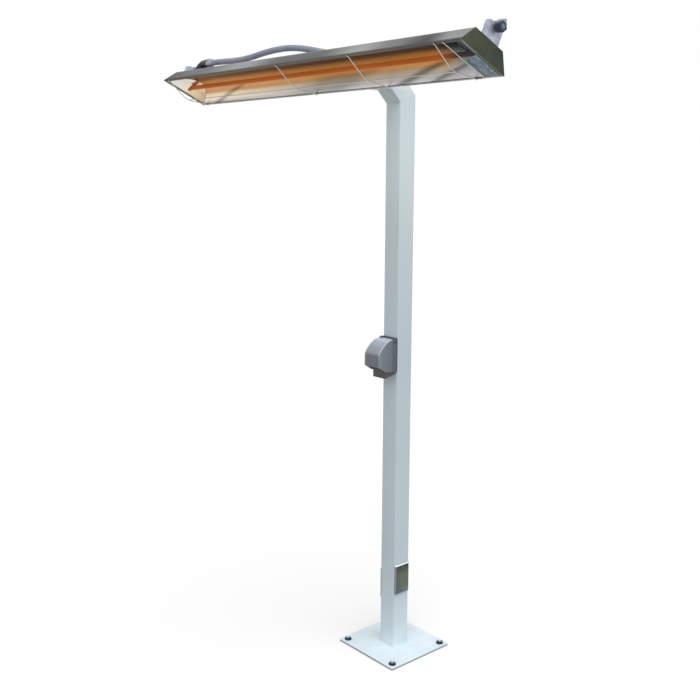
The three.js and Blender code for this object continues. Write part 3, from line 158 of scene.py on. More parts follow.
class Finish:
    """A node material on one Principled shader, built up by small steps."""

    def __init__(self, name, metallic=0.0, roughness=0.5, **sockets):
        self.material = bpy.data.materials.new(name)
        self.material.use_nodes = True
        self.tree = self.material.node_tree
        self.shader = self.tree.nodes["Principled BSDF"]
        self.shader.inputs["Metallic"].default_value = metallic
        self.shader.inputs["Roughness"].default_value = roughness
        for socket, value in sockets.items():
            self.shader.inputs[socket.replace("_", " ")].default_value = value
        if metallic:
            self.shader.inputs["Specular Tint"].default_value = (EDGE_TINT,) * 3 + (1,)
        self.place = self.node("ShaderNodeTexCoord").outputs["Object"]

    def node(self, kind, **inputs):
        """A new node, each input linked to a socket or set to a value."""
        made = self.tree.nodes.new(kind)
        for name, value in inputs.items():
            self.link(value, made.inputs[name.replace("_", " ")])
        return made

    def link(self, value, socket):
        """Feeds an input from a socket, or sets it to a value."""
        if isinstance(value, bpy.types.NodeSocket):
            self.tree.links.new(value, socket)
        else:
            socket.default_value = value

    # Patterns and measures over the object

    def noise(self, scale, stretch=(1, 1, 1), detail=4.0):
        """Noise from 0 to 1; a small stretch value draws it out along that axis."""
        spot = self.node("ShaderNodeMapping", Vector=self.place, Scale=stretch).outputs[0]
        made = self.node("ShaderNodeTexNoise", Vector=spot, Scale=scale, Detail=detail)
        return made.outputs["Fac"]

    def dot(self, first, second):
        """The dot product of two vectors."""
        made = self.tree.nodes.new("ShaderNodeVectorMath")
        made.operation = "DOT_PRODUCT"
        self.link(first, made.inputs[0])
        self.link(second, made.inputs[1])
        return made.outputs["Value"]

    def slide(self, start, slope):
        """How far a place lies from a point, measured along a slope vector."""
        away = self.node("ShaderNodeVectorMath", Vector=self.place)
        away.operation = "SUBTRACT"
        away.inputs[1].default_value = start
        return self.dot(away.outputs[0], slope)

    def gradient(self, start, end):
        """From 0 at one point of the part at rest to 1 at another."""
        reach = Vector(end) - Vector(start)
        return self.span(self.slide(start, reach / reach.length_squared), 0, 1, 0, 1)

    def height(self, start, end):
        """From 0 to 1 between two heights."""
        return self.gradient((0, 0, start), (0, 0, end))

    def across_mouth(self):
        """From 0 at the mouth's front lip to 1 at its back lip."""
        return self.gradient(head_point(0, 0, 0), head_point(0, MOUTH_WIDTH, 0))

    def along_head(self, start, end):
        """From 0 to 1 between two places along the head, as shares of its half length."""
        return self.gradient(head_point(start * HEAD_HALF_LENGTH, 0, 0),
                             head_point(end * HEAD_HALF_LENGTH, 0, 0))

    def facing(self, axis):
        """How far a face looks along an axis of the piece at rest, from -1 to 1."""
        return self.dot(self.node("ShaderNodeTexCoord").outputs["Normal"], axis)

    def edges(self, radius):
        """1 on sharp convex edges and 0 on flats, from how far a rounded normal turns."""
        rounded = self.node("ShaderNodeBevel", Radius=radius)
        rounded.samples = 4
        flat = self.node("ShaderNodeNewGeometry").outputs["Normal"]
        return self.span(self.dot(rounded.outputs[0], flat), 1, 0, 0.8, 0.98)

    # Steps from a value to a colour

    def span(self, value, low, high, start=0.3, end=0.7):
        """A number from low to high as a value goes from start to end."""
        made = self.node("ShaderNodeMapRange", Value=value)
        for name, number in zip(("From Min", "From Max", "To Min", "To Max"),
                                (start, end, low, high)):
            made.inputs[name].default_value = number
        return made.outputs["Result"]

    def ramp(self, value, low, high, start=0.3, end=0.7):
        """A colour from low to high as a value goes from start to end."""
        made = self.node("ShaderNodeValToRGB", Fac=value)
        first, last = made.color_ramp.elements
        first.position, first.color = start, low
        last.position, last.color = end, high
        return made.outputs["Color"]

    def stops(self, value, *colours):
        """A ramp through any number of (position, colour) stops, eased between them."""
        made = self.node("ShaderNodeValToRGB", Fac=value)
        ramp = made.color_ramp
        ramp.interpolation = "EASE"
        outer = zip((ramp.elements[0], ramp.elements[-1]), (colours[0], colours[-1]))
        for element, (position, colour) in outer:
            element.position, element.color = position, colour
        for position, colour in colours[1:-1]:
            ramp.elements.new(position).color = colour
        return made.outputs["Color"]

    def mix(self, factor, first, second, blend="MIX"):
        """The first colour turned into the second by a factor."""
        made = self.tree.nodes.new("ShaderNodeMix")
        made.data_type = "RGBA"
        made.blend_type = blend
        self.link(factor, made.inputs[0])
        self.link(first, made.inputs[6])
        self.link(second, made.inputs[7])
        return made.outputs[2]

    def both(self, first, second):
        """The product of two values from 0 to 1."""
        return self.mix(first, NOTHING, second)

    def wear_and_highlight(self, base, radius, share, bare):
        """A colour that turns to another by some share on the sharp edges: real wear on moulded
        plastic, a painted edge highlight on the powder coat and the caps.
        """
        return self.mix(self.span(self.edges(radius), 0, share, 0, 1), base, bare)

    # What the shader takes

    def colour(self, value):
        self.link(value, self.shader.inputs["Base Color"])

    def rough(self, value):
        self.link(value, self.shader.inputs["Roughness"])

    def bump(self, height, strength, distance):
        """The last step of most finishes, so it hands the finish back."""
        made = self.node("ShaderNodeBump", Height=height, Strength=strength, Distance=distance)
        self.link(made.outputs[0], self.shader.inputs["Normal"])
        return self


# ---------------------------------------------------------------- finishes

HOUSING_REFLECTION_SLANT = 0.4  # how far the painted reflection stripes lean: shares of the length for each metre of height
REFLECTOR_REFLECTION_LEAN = 2.7  # the same for each metre across
REFLECTOR_REFLECTION_ACROSS = 0.85  # where across the mouth those painted reflection stripes have their stated places


def white_powder_coat():
    """Bluish white powder coat: orange peel, faint clouds, grime low down, a darker post foot;
    painted light: paler at the top, painted edge highlights, painted shade beneath, a painted
    shadow on the plate rim.
    """
    f = Finish("white_powder_coat", Specular_IOR_Level=0.45)
    clouds = f.ramp(f.noise(3.5), srgb(207, 222, 230), srgb(214, 229, 237))
    # painted light: the coat turns paler towards the top, against the shade of the head
    coat = f.mix(f.height(1.2, 1.9), clouds, srgb(236, 249, 254))
    coat = f.mix(f.height(0.3, 0), coat, srgb(231, 246, 254))
    near_floor = f.span(f.height(0, 0.16), 0.35, 0)
    grime = f.ramp(f.noise(9, detail=6), srgb(198, 212, 220), srgb(231, 246, 254), 0.25, 0.6)
    # painted highlight: the sharp edges turn paler
    coat = f.wear_and_highlight(f.mix(near_floor, coat, grime), 1.5 * MM, 0.3, srgb(243, 248, 250))
    # painted shade: faces that look down turn darker
    painted_underside_shade = f.span(f.facing(UP), 0.75, 0, -0.9, -0.4)
    coat = f.mix(painted_underside_shade, coat, srgb(190, 199, 193))
    # painted shadow: a dark line along the bottom of the plate's rim
    plate_rim_shadow = f.height(5 * MM, 3 * MM)
    coat = f.mix(plate_rim_shadow, coat, srgb(150, 148, 154))
    post_foot = f.span(f.height(PLATE_TOP + 3 * MM, PLATE_TOP + 1 * MM), 0, 0.4, 0, 1)
    post_foot = f.both(f.span(f.facing(UP), 1, 0, 0.5, 0.9), post_foot)
    f.colour(f.mix(post_foot, coat, srgb(160, 166, 168)))
    f.rough(f.span(f.noise(40), 0.36, 0.5))
    return f.bump(f.noise(650, detail=2), 0.12, 0.4 * MM).material


def brushed(name, dark, light, axis, gloss):
    """Brushed stainless: streaks along one axis, in colour, gloss and relief."""
    f = Finish(name, metallic=1.0, Anisotropic=0.35)
    stretch = [1.0, 1.0, 1.0]
    stretch[axis] = 0.006
    streak = f.noise(700, stretch, 3)
    cloud = f.noise(5)
    f.colour(f.mix(f.span(cloud, 0.15, 0.85), f.ramp(streak, srgb(*dark), srgb(*light)),
                   srgb(*light)))
    f.rough(f.span(streak, *gloss))
    return f.bump(streak, 0.08, 0.2 * MM).material


def housing_steel():
    """The folded housing: grain along its length, broad painted reflections of the studio on its
    front, a painted shade along the lip and a painted highlight on the fold.
    """
    f = Finish("housing_steel", metallic=1.0, Anisotropic=0.35)
    streak = f.noise(520, (0.006, 1, 1), 3)
    along = f.slide(head_point(-HEAD_HALF_LENGTH, 0, 0),
                    Vector((0.5 / HEAD_HALF_LENGTH, 0, HOUSING_REFLECTION_SLANT)))
    # painted reflections: broad light and dark stripes along the front wall
    painted_reflections = f.stops(along, (0.0, grey(104)), (0.13, grey(130)), (0.33, grey(182)),
                    (0.47, grey(114)), (0.6, grey(112)), (0.73, grey(190)), (0.82, grey(144)),
                    (0.91, grey(84)), (0.97, grey(176)))
    slope = f.gradient(head_point(0, 0, 0), head_point(0, FOLD_ACROSS, HEAD_DEPTH))
    # painted shade along the front lip, warm at the left and grey towards the right end
    lip = f.mix(f.span(along, 0, 1, 0.78, 0.93), srgb(94, 82, 68), srgb(64, 68, 70))
    front = f.mix(f.span(slope, 1, 0, 0.05, 0.2), painted_reflections, lip)
    # painted highlight along the fold at the top of the front wall
    front = f.mix(f.span(slope, 0, 0.75, 0.9, 1.0), front, grey(214))
    across = f.across_mouth()
    back = f.ramp(f.noise(4, (0.5, 1, 1), 3), grey(142), grey(184))
    base = f.mix(f.span(across, 0, 1, 0.185, 0.2), front, back)
    f.colour(f.mix(f.span(streak, 0, 0.25), base, grey(150)))
    f.rough(f.span(streak, 0.28, 0.42))
    return f.bump(streak, 0.08, 0.2 * MM).material


def cap_steel():
    """The end caps: the same sheet with its colour painted as in shade, an olive grey with its
    grain across the head, painted lighter towards the front lip and where faces look out of the
    mouth, with painted edge highlights.
    """
    f = Finish("cap_steel", metallic=0.95)
    streak = f.noise(420, (1, 0.02, 1), 3)
    # painted shade: the olive grey, lighter towards the front lip
    side = f.gradient(head_point(0, 0, 30 * MM), head_point(0, MOUTH_WIDTH, 30 * MM))
    base = f.mix(side, srgb(86, 90, 76), srgb(66, 73, 66))
    patch = f.ramp(f.noise(14, detail=5), srgb(52, 55, 46), srgb(92, 96, 86), 0.35, 0.75)
    steel = f.mix(f.span(streak, 0.15, 0.55), base, patch)
    # painted highlight on the sharp edges
    painted_edge_highlight = f.wear_and_highlight(steel, 2 * MM, 0.5, srgb(150, 154, 148))
    # painted light: faces that look out of the mouth turn paler
    f.colour(f.mix(f.span(f.facing(MOUTH_OUT), 0, 0.7, 0.6, 0.9), painted_edge_highlight, srgb(160, 160, 152)))
    f.rough(f.span(streak, 0.34, 0.52))
    return f.bump(streak, 0.1, 0.3 * MM).material


def polished_reflector():
    """Polished trough, its colour painted light: painted shade at the front, a warm painted
    reflection of the glow round the element, pale painted reflections behind, painted slate shade
    at the right end.
    """
    f = Finish("polished_reflector", metallic=1.0)
    across = f.across_mouth()
    ripple = f.noise(16, (0.1, 1, 1), 3)
    place = f.mix(0.04, across, ripple)
    # painted reflections of the element's glow, warm round it and paler towards the left end, with
    # painted shade at the front of the trough
    warm = f.stops(place, (0.3, srgb(118, 110, 100)), (0.42, srgb(132, 98, 62)),
                   (0.52, srgb(168, 112, 56)), (0.7, srgb(198, 136, 76)),
                   (0.745, srgb(172, 138, 98)), (0.8, srgb(172, 156, 136)),
                   (0.87, srgb(178, 172, 166)), (0.97, srgb(226, 226, 225)))
    pale = f.stops(place, (0.3, srgb(164, 146, 118)), (0.42, srgb(180, 144, 98)),
                   (0.52, srgb(208, 144, 84)), (0.7, srgb(220, 164, 112)),
                   (0.745, srgb(202, 158, 112)), (0.8, srgb(250, 226, 192)),
                   (0.87, srgb(248, 234, 214)), (0.92, srgb(192, 182, 168)),
                   (0.97, srgb(226, 224, 218)))
    base = f.mix(f.along_head(-1, 0.1), pale, warm)
    # painted shade at the right end, where no glow is mirrored
    right_end_shade = f.along_head(0.74, 0.86)
    slate = f.stops(across, (0.3, srgb(66, 80, 88)), (0.45, srgb(74, 84, 86)),
                    (0.72, srgb(120, 124, 124)), (0.8, srgb(168, 168, 172)),
                    (0.97, srgb(208, 208, 210)))
    base = f.mix(right_end_shade, base, slate)
    start = head_point(-HEAD_HALF_LENGTH, REFLECTOR_REFLECTION_ACROSS * MOUTH_WIDTH, 0)
    lean = head_point(1, REFLECTOR_REFLECTION_LEAN, 0) - head_point(1, 0, 0)
    skew = f.slide(start, Vector((0.5 / HEAD_HALF_LENGTH, 0, 0)) + lean)
    # painted reflections: light and dark stripes slanting across the back wall
    painted_reflections = f.stops(skew, (0.095, grey(255)), (0.124, grey(186)), (0.155, grey(255)),
                    (0.38, grey(252)), (0.5, grey(218)), (0.58, grey(214)), (0.66, grey(255)),
                    (0.755, grey(255)), (0.795, grey(168)), (0.835, grey(255)),
                    (0.862, grey(250)), (0.885, grey(172)), (0.92, grey(232)))
    behind = f.span(across, 0, 1, 0.62, 0.74)
    f.colour(f.mix(behind, base, f.mix(1.0, base, painted_reflections, "MULTIPLY")))
    f.rough(f.span(f.noise(90, (0.05, 1, 1), 2), 0.32, 0.44))
    return f.bump(ripple, 0.2, 1 * MM).material


def end_mirror_left_painted_light():
    """The left sloping end reflector, painted as lit: bright and pale, with a warm painted
    reflection of the glow.
    """
    f = Finish("end_mirror_left_painted_light", metallic=1.0)
    base = f.stops(f.across_mouth(), (0.1, srgb(226, 226, 222)), (0.4, srgb(236, 228, 214)),
                   (0.6, srgb(236, 200, 156)), (0.95, srgb(188, 166, 128)))
    f.colour(f.mix(f.span(f.noise(9, detail=2), 0, 0.25), base, srgb(196, 192, 184)))
    f.rough(f.span(f.noise(60), 0.26, 0.36))
    return f.bump(f.noise(14, detail=1), 0.08, 0.6 * MM).material


def end_mirror_right_painted_shade():
    """The right one, painted in shade as it faces away from the light: slate."""
    f = Finish("end_mirror_right_painted_shade", metallic=0.35)
    base = f.stops(f.across_mouth(), (0.1, srgb(58, 68, 76)), (0.5, srgb(52, 60, 72)),
                   (0.9, srgb(92, 104, 112)))
    f.colour(f.mix(f.span(f.noise(20), 0, 0.35), base, srgb(84, 94, 102)))
    f.rough(f.span(f.noise(60), 0.44, 0.56))
    return f.bump(f.noise(35, detail=2), 0.1, 0.6 * MM).material


def cover_steel(side):
    """An access cover: dark glossy stainless with painted reflections clouded like a window, its
    bevels given painted highlights.
    """
    f = Finish(f"cover_steel_{side}", metallic=0.95)
    low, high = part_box(f"access_cover_{side}")
    # painted reflections: blue-grey low down, greenish in the middle, dark at the top
    window = f.stops(f.height(low[2], high[2]), (0.05, srgb(108, 116, 122)),
                     (0.3, srgb(86, 96, 88)), (0.62, srgb(88, 100, 80)), (0.95, srgb(50, 56, 52)))
    # painted shade towards the cover's front edge
    from_front = f.gradient((0, -36 * MM, 0), (0, -6 * MM, 0))
    window = f.mix(from_front, srgb(62, 66, 70), window)
    cloud = f.mix(f.span(f.noise(16, (1, 1, 0.6), 3), 0, 0.35), window, srgb(126, 134, 128))
    # painted highlights: faces that look forward turn paler, and faces that look up nearly white
    front = f.mix(f.span(f.facing((0, -1, 0)), 0, 0.85, 0.2, 0.5), cloud, srgb(134, 138, 146))
    f.colour(f.mix(f.span(f.facing(UP), 0, 1, 0.2, 0.45), front, srgb(240, 246, 248)))
    f.rough(f.span(f.noise(300, (1, 0.02, 1), 2), 0.16, 0.3))
    return f.bump(f.noise(300, (1, 0.02, 1), 2), 0.05, 0.2 * MM).material


def dark_zinc():
    """Nuts and washers in black zinc, with a painted highlight where they face the sky, and bare
    stud ends.
    """
    f = Finish("black_zinc", metallic=0.75)
    plated = f.ramp(f.noise(60, detail=6), srgb(38, 48, 60), srgb(76, 88, 102))
    above = f.height(NUT_FOOT, NUT_FOOT + 3 * MM)
    # painted highlight: tops above the nut's foot that face the sky turn paler
    painted_top_light = f.both(above, f.span(f.facing(UP), 0, 0.8, 0.3, 0.9))
    wear_and_highlight = f.mix(painted_top_light, plated, srgb(150, 160, 174))
    bare = f.height(STUD_TOP - 1.2 * MM, STUD_TOP - 0.8 * MM)
    f.colour(f.mix(bare, wear_and_highlight, srgb(232, 236, 242)))
    f.rough(f.span(f.noise(140), 0.28, 0.46))
    return f.bump(f.noise(900, detail=2), 0.08, 0.3 * MM).material


def zinc(name, dark, light):
    """Dull zinc plate with a fine cloudy spangle."""
    f = Finish(name, metallic=0.75)
    f.colour(f.ramp(f.noise(60, detail=6), srgb(*dark), srgb(*light)))
    f.rough(f.span(f.noise(140), 0.34, 0.55))
    return f.bump(f.noise(900, detail=2), 0.08, 0.3 * MM).material


def moulded(name, dark, light, wear, gloss=0.5):
    """Moulded plastic: a fine pebbled grain, slight mottling and edges paled by wear."""
    f = Finish(name, Specular_IOR_Level=0.4)
    mottled = f.ramp(f.noise(22, detail=5), srgb(*dark), srgb(*light))
    f.colour(f.wear_and_highlight(mottled, 2 * MM, 0.55, srgb(*wear)))
    f.rough(f.span(f.noise(180), gloss - 0.07, gloss + 0.08))
    return f.bump(f.noise(900, detail=2), 0.2, 0.3 * MM).material


def hood_plastic():
    """The hood: blue-grey plastic, painted paler towards the sky, with painted shade on the sides
    and painted highlights on the edges.
    """
    f = Finish("hood_plastic", Specular_IOR_Level=0.5)
    low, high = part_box("hood_cover")
    mottled = f.ramp(f.noise(18, detail=5), srgb(111, 114, 124), srgb(125, 129, 139))
    # painted light: faces that look up turn paler
    sky = f.facing(UP)
    lit = f.mix(f.span(sky, 0, 1, 0.12, 0.4), mottled, srgb(158, 166, 178))
    lit = f.mix(f.span(sky, 0, 1, 0.7, 0.95), lit, srgb(192, 204, 217))
    x = f.node("ShaderNodeSeparateXYZ", Vector=f.place).outputs["X"]
    offset = f.node("ShaderNodeMath", Value=x)
    offset.operation = "ABSOLUTE"
    offset = offset.outputs[0]
    side_span = (HOOD_HALF_WIDTH - 0.9 * MM, HOOD_HALF_WIDTH - 0.3 * MM)
    rim_span = (HOOD_HALF_WIDTH - 4.8 * MM, HOOD_HALF_WIDTH - 3.4 * MM)
    # painted shade on the sides, darker towards the back
    sides = f.stops(f.gradient((0, low[1], 0), (0, high[1], 0)), (0.0, srgb(138, 148, 158)),
                    (0.3, srgb(122, 134, 142)), (0.7, srgb(112, 120, 134)),
                    (0.78, srgb(92, 98, 112)), (1.0, srgb(84, 88, 102)))
    shaded = f.mix(f.span(offset, 0, 1, *side_span), lit, sides)
    # painted highlight along the rim of each side
    rim = f.both(f.span(offset, 0, 1, *rim_span), f.span(offset, 1, 0, *side_span))
    bright = f.both(f.span(sky, 0.15, 0.95, -0.1, 0.35), rim)
    f.colour(f.mix(bright, shaded, srgb(232, 238, 244)))
    f.rough(f.span(f.noise(150), 0.34, 0.48))
    return f.bump(f.noise(1000, detail=2), 0.2, 0.3 * MM).material


def ceramic():
    """Unglazed cream ceramic, finely grained."""
    f = Finish("ceramic", roughness=0.65)
    f.colour(f.ramp(f.noise(45, detail=5), srgb(214, 204, 184), srgb(236, 230, 216)))
    return f.bump(f.noise(500), 0.2, 0.3 * MM).material


def glowing(name, hot, cool, strength):
    """Hot glass or wire: it gives its own light, uneven along it and dark at both ends."""
    f = Finish(name, roughness=0.35, Specular_IOR_Level=0.08)
    heat = f.noise(14, (0.25, 1, 1), 2)
    glow = f.ramp(heat, srgb(*cool), srgb(*hot), 0.3, 0.65)
    glow = f.mix(f.along_head(0.79, 0.88), glow, srgb(50, 44, 44))
    left_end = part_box("quartz_tube")[0][0]
    tip = f.gradient((left_end + 14 * MM, 0, 0), (left_end + 5 * MM, 0, 0))
    glow = f.mix(tip, glow, srgb(44, 22, 6))
    f.colour(f.mix(0.9, glow, srgb(30, 10, 4)))
    f.link(glow, f.shader.inputs["Emission Color"])
    f.shader.inputs["Emission Strength"].default_value = strength
    return f.bump(f.noise(300, (0.1, 1, 1), 2), 0.05, 0.2 * MM).material


def rubber():
    """Matt black rubber."""
    f = Finish("black_rubber", roughness=0.8)
    f.colour(f.ramp(f.noise(70), srgb(24, 25, 27), srgb(40, 42, 44)))
    return f.bump(f.noise(700), 0.3, 0.3 * MM).material


def conduit_jacket():
    """Liquid-tight conduit: a blue-grey jacket with the ghost of the spiral steel under it."""
    f = Finish("conduit_jacket", Specular_IOR_Level=0.4)
    uv = f.node("ShaderNodeTexCoord").outputs["UV"]
    wave = f.node("ShaderNodeTexWave", Vector=uv, Scale=22.0, Distortion=0.0)
    wave.bands_direction = "X"
    spiral = wave.outputs["Fac"]
    f.colour(f.mix(f.span(spiral, 0, 0.15, 0, 1),
                   f.ramp(f.noise(20, detail=5), srgb(138, 144, 160), srgb(160, 166, 182)),
                   srgb(118, 124, 142)))
    f.rough(f.span(f.noise(120), 0.44, 0.6))
    return f.bump(spiral, 0.12, 0.4 * MM).material


PAINT = white_powder_coat()
HOUSING = housing_steel()
CAP = cap_steel()
REFLECTOR = polished_reflector()
END_MIRROR = {"left": end_mirror_left_painted_light(), "right": end_mirror_right_painted_shade()}
COVER = {side: cover_steel(side) for side in SIDES}
ZINC = zinc("zinc_plate", (140, 148, 160), (186, 193, 204))
BRACKET_ZINC = zinc("bracket_zinc", (156, 162, 178), (190, 196, 210))
TERMINAL = zinc("terminal_sheet", (98, 112, 122), (146, 158, 167))
DARK_ZINC = dark_zinc()
WIRE = brushed("guard_wire", (158, 155, 148), (204, 201, 194), 0, (0.25, 0.4))
STAINLESS = brushed("plain_stainless", (150, 150, 150), (200, 200, 198), 2, (0.2, 0.35))
HOOD = hood_plastic()
BOX_DARK = moulded("box_dark_plastic", (58, 66, 80), (76, 85, 98), (146, 155, 168))
COWL = moulded("cowl_plastic", (74, 77, 76), (94, 97, 96), (140, 145, 148))
HUB = zinc("hub_zinc", (92, 110, 124), (128, 144, 158))
KNOB = moulded("knob_plastic", (30, 38, 58), (52, 62, 82), (112, 124, 142), 0.38)
BLACK = moulded("black_plastic", (16, 18, 18), (34, 36, 36), (80, 84, 86), 0.42)
RUBBER = rubber()
CERAMIC = ceramic()
QUARTZ = glowing("hot_quartz", (152, 78, 26), (140, 70, 18), 1.0)
FILAMENT = glowing("hot_filament", (236, 140, 60), (214, 104, 30), 1.4)
CONDUIT = conduit_jacket()

# ---------------------------------------------------------------- mesh helpers

SMOOTH_BELOW = math.radians(35)  # faces that meet at less than this look like one curve
BEVEL_ABOVE = math.radians(38)  # edges sharper than this are rounded
TUBE_SMOOTH_BELOW = math.radians(60)


def put(obj, body):
    """Links an object and says what it rides on."""
    bpy.context.scene.collection.objects.link(obj)
    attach(obj, body)
    return obj


def mesh_object(name, bm, material, smooth=SMOOTH_BELOW):
    """An object from a bmesh, smooth except where its faces meet sharply."""
    bmesh.ops.recalc_face_normals(bm, faces=bm.faces)
    mesh = bpy.data.meshes.new(name)
    for edge in bm.edges:
        edge.smooth = len(edge.link_faces) == 2 and edge.calc_face_angle(0) < smooth
    for face in bm.faces:
        face.smooth = True
    bm.to_mesh(mesh)
    bm.free()
    mesh.materials.append(material)
    return bpy.data.objects.new(name, mesh)


def circle(bm, centre, radius, side, lift, count):
    """A ring of points about a centre; its radius is a number or a function of the angle."""
    ring = []
    for k in range(count):
        angle = 2 * math.pi * k / count
        reach = radius(angle) if callable(radius) else radius
        spot = centre + reach * (math.cos(angle) * side + math.sin(angle) * lift)
        ring.append(bm.verts.new(spot))
    return ring


def band(bm, near, far):
    """The faces between two rings."""
    count = len(near)
    return [bm.faces.new((near[k], near[(k + 1) % count], far[(k + 1) % count], far[k]))
            for k in range(count)]


def close_ends(bm, rings):
    """A flat face at each end of a row of rings."""
    bm.faces.new(rings[0][::-1])
    bm.faces.new(rings[-1])


def lathe(name, profile, centre, axis, material, sides, lobes=0, depth=0.0):
    """A turned piece: (along, radius) pairs about an axis, its rim waved into lobes if asked."""
    bm = bmesh.new()
    axis = Vector(axis).normalized()
    side = axis.orthogonal().normalized()
    lift = axis.cross(side)
    rings = []
    for along, radius in profile:
        rings.append(circle(bm, Vector(centre) + axis * along,
                            lambda angle: radius * (1 + depth * math.cos(lobes * angle)),
                            side, lift, sides))
    for near, far in zip(rings, rings[1:]):
        band(bm, near, far)
    close_ends(bm, rings)
    return mesh_object(name, bm, material)


def smooth_path(points, steps=10):
    """A Catmull-Rom line through the points, with knots spaced by the root of their distance."""
    def between(a, b, ta, tb, t):
        return a * ((tb - t) / (tb - ta)) + b * ((t - ta) / (tb - ta))

    extended = [2 * points[0] - points[1], *points, 2 * points[-1] - points[-2]]
    line = []
    for p0, p1, p2, p3 in zip(extended, extended[1:], extended[2:], extended[3:]):
        t0 = 0.0
        t1 = t0 + math.sqrt((p1 - p0).length)
        t2 = t1 + math.sqrt((p2 - p1).length)
        t3 = t2 + math.sqrt((p3 - p2).length)
        for step in range(steps):
            t = t1 + (t2 - t1) * step / steps
            a1 = between(p0, p1, t0, t1, t)
            a2 = between(p1, p2, t1, t2, t)
            a3 = between(p2, p3, t2, t3, t)
            b1 = between(a1, a2, t0, t2, t)
            b2 = between(a2, a3, t1, t3, t)
            line.append(between(b1, b2, t1, t2, t))
    line.append(points[-1].copy())
    return line


def tube(name, line, radius, material, sides, closed=False, swell=None):
    """A tube along a line, capped unless it closes on itself, with UVs of metres and turns."""
    bm = bmesh.new()
    uv = bm.loops.layers.uv.new("along")
    count = len(line)
    rings, reach = [], [0.0]
    side = None
    for i, point in enumerate(line):
        before = line[i - 1] if i or closed else point
        after = line[(i + 1) % count] if i < count - 1 or closed else point
        ahead = (after - before).normalized()
        if side is None:
            side = ahead.orthogonal().normalized()
        side = (side - ahead * side.dot(ahead)).normalized()
        size = radius * (swell(i) if swell else 1)
        rings.append(circle(bm, point, size, side, ahead.cross(side), sides))
        if i:
            reach.append(reach[-1] + (point - line[i - 1]).length)
    for i in range(count if closed else count - 1):
        start, end = reach[i], reach[min(i + 1, count - 1)]
        for k, face in enumerate(band(bm, rings[i], rings[(i + 1) % count])):
            corners = ((start, k), (start, k + 1), (end, k + 1), (end, k))
            for loop, (along, turn) in zip(face.loops, corners):
                loop[uv].uv = (along, turn / sides)
    if not closed:
        close_ends(bm, rings)
    return mesh_object(name, bm, material, TUBE_SMOOTH_BELOW)


# ---------------------------------------------------------------- the flexible conduit

CONDUIT_RADIUS = 10.8 * MM
CONDUIT_START = head_point(-0.5794, 0.067, HEAD_DEPTH + 0.038)
CONDUIT_END = Vector((-0.012, -0.2633, 2.2427))
CONDUIT_ROUTE = (
    (-0.500, -0.428, 2.249), (-0.446, -0.427, 2.247), (-0.376, -0.424, 2.248),
    (-0.324, -0.420, 2.253), (-0.273, -0.412, 2.261), (-0.223, -0.401, 2.267),
    (-0.180, -0.388, 2.270), (-0.135, -0.372, 2.268), (-0.092, -0.352, 2.261),
    (-0.054, -0.327, 2.252), (-0.027, -0.302, 2.246),
)


def make_conduit():
    """The conduit leaves the head's gland along +X and enters the arm's elbow along +Y."""
    line = smooth_path([CONDUIT_START,
                        CONDUIT_START + Vector((2 * CONDUIT_RADIUS, 0, 0)),
                        *(Vector(point) for point in CONDUIT_ROUTE),
                        CONDUIT_END - Vector((0, CONDUIT_RADIUS, 0)),
                        CONDUIT_END])
    conduit = tube("conduit_jacket", line, CONDUIT_RADIUS, CONDUIT, 20)
    bpy.context.scene.collection.objects.link(conduit)
    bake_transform(conduit)
    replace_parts(conduit, "flexible_conduit")


make_conduit()

# ---------------------------------------------------------------- the solids as packed


def dressed(node, material, bevel=0.0, segments=2, smooth=SMOOTH_BELOW):
    """A finer stand-in for a CAD solid: its sharp edges rounded and its curves smooth."""
    bm = bmesh.new()
    bm.from_mesh(NODES[node].data)
    bmesh.ops.remove_doubles(bm, verts=bm.verts, dist=1e-6)
    bmesh.ops.dissolve_limit(bm, angle_limit=math.radians(1), verts=bm.verts, edges=bm.edges)
    if bevel:
        edges = [e for e in bm.edges
                 if len(e.link_faces) == 2 and e.calc_face_angle(0) > BEVEL_ABOVE]
        bmesh.ops.bevel(bm, geom=edges, offset=bevel, offset_type="OFFSET", segments=segments,
                        profile=0.5, affect="EDGES", clamp_overlap=True, harden_normals=False)
    obj = mesh_object(f"{node}_finished", bm, material, smooth)
    put(obj, NODES[node]["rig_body"])
    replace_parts(obj, node)


def finish(material, *names):
    """Gives a material to CAD nodes whose own shape is shown."""
    for name in names:
        data = NODES[name].data
        data.materials.clear()
        data.materials.append(material)


dressed("base_plate", PAINT, 0.8 * MM)
dressed("post_tube", PAINT)
dressed("gooseneck_arm", PAINT)
dressed("arm_fork", PAINT, 0.6 * MM)
for side in SIDES:
    dressed(f"access_cover_{side}", COVER[side], 0.5 * MM)
    finish(RUBBER, f"access_gasket_{side}")
    finish(HUB, f"cover_screw_{side}_upper", f"cover_screw_{side}_lower")
    dressed(f"end_cap_{side}", CAP, 0.25 * MM)
    dressed(f"end_reflector_{side}", END_MIRROR[side])
    dressed(f"ceramic_holder_{side}", CERAMIC, 0.4 * MM)
    finish(ZINC, f"element_bracket_{side}")
    dressed(f"end_bracket_{side}", BRACKET_ZINC, 0.6 * MM)
    dressed(f"bracket_knob_{side}", KNOB, 1.0 * MM)
dressed("terminal_cover_right", TERMINAL, 0.3 * MM)
finish(STAINLESS, "terminal_screw_right", "hood_hinge_pin")
finish(RUBBER, "box_gasket")
finish(ZINC, "box_screw_upper", "box_screw_lower")
finish(BLACK, "power_regulator")
dressed("box_backplate", BOX_DARK, 0.8 * MM)
dressed("control_cowl", COWL, 1.2 * MM)
dressed("control_knob", KNOB, 0.6 * MM)
dressed("hood_cover", HOOD, 1.0 * MM, segments=3, smooth=math.radians(17))
dressed("housing_shell", HOUSING)
dressed("reflector", REFLECTOR, smooth=math.radians(50))
dressed("quartz_tube", QUARTZ)
dressed("heating_filament", FILAMENT)
dressed("tilt_bracket", ZINC, 0.5 * MM)
dressed("tilt_bolt_left", ZINC, 0.5 * MM)
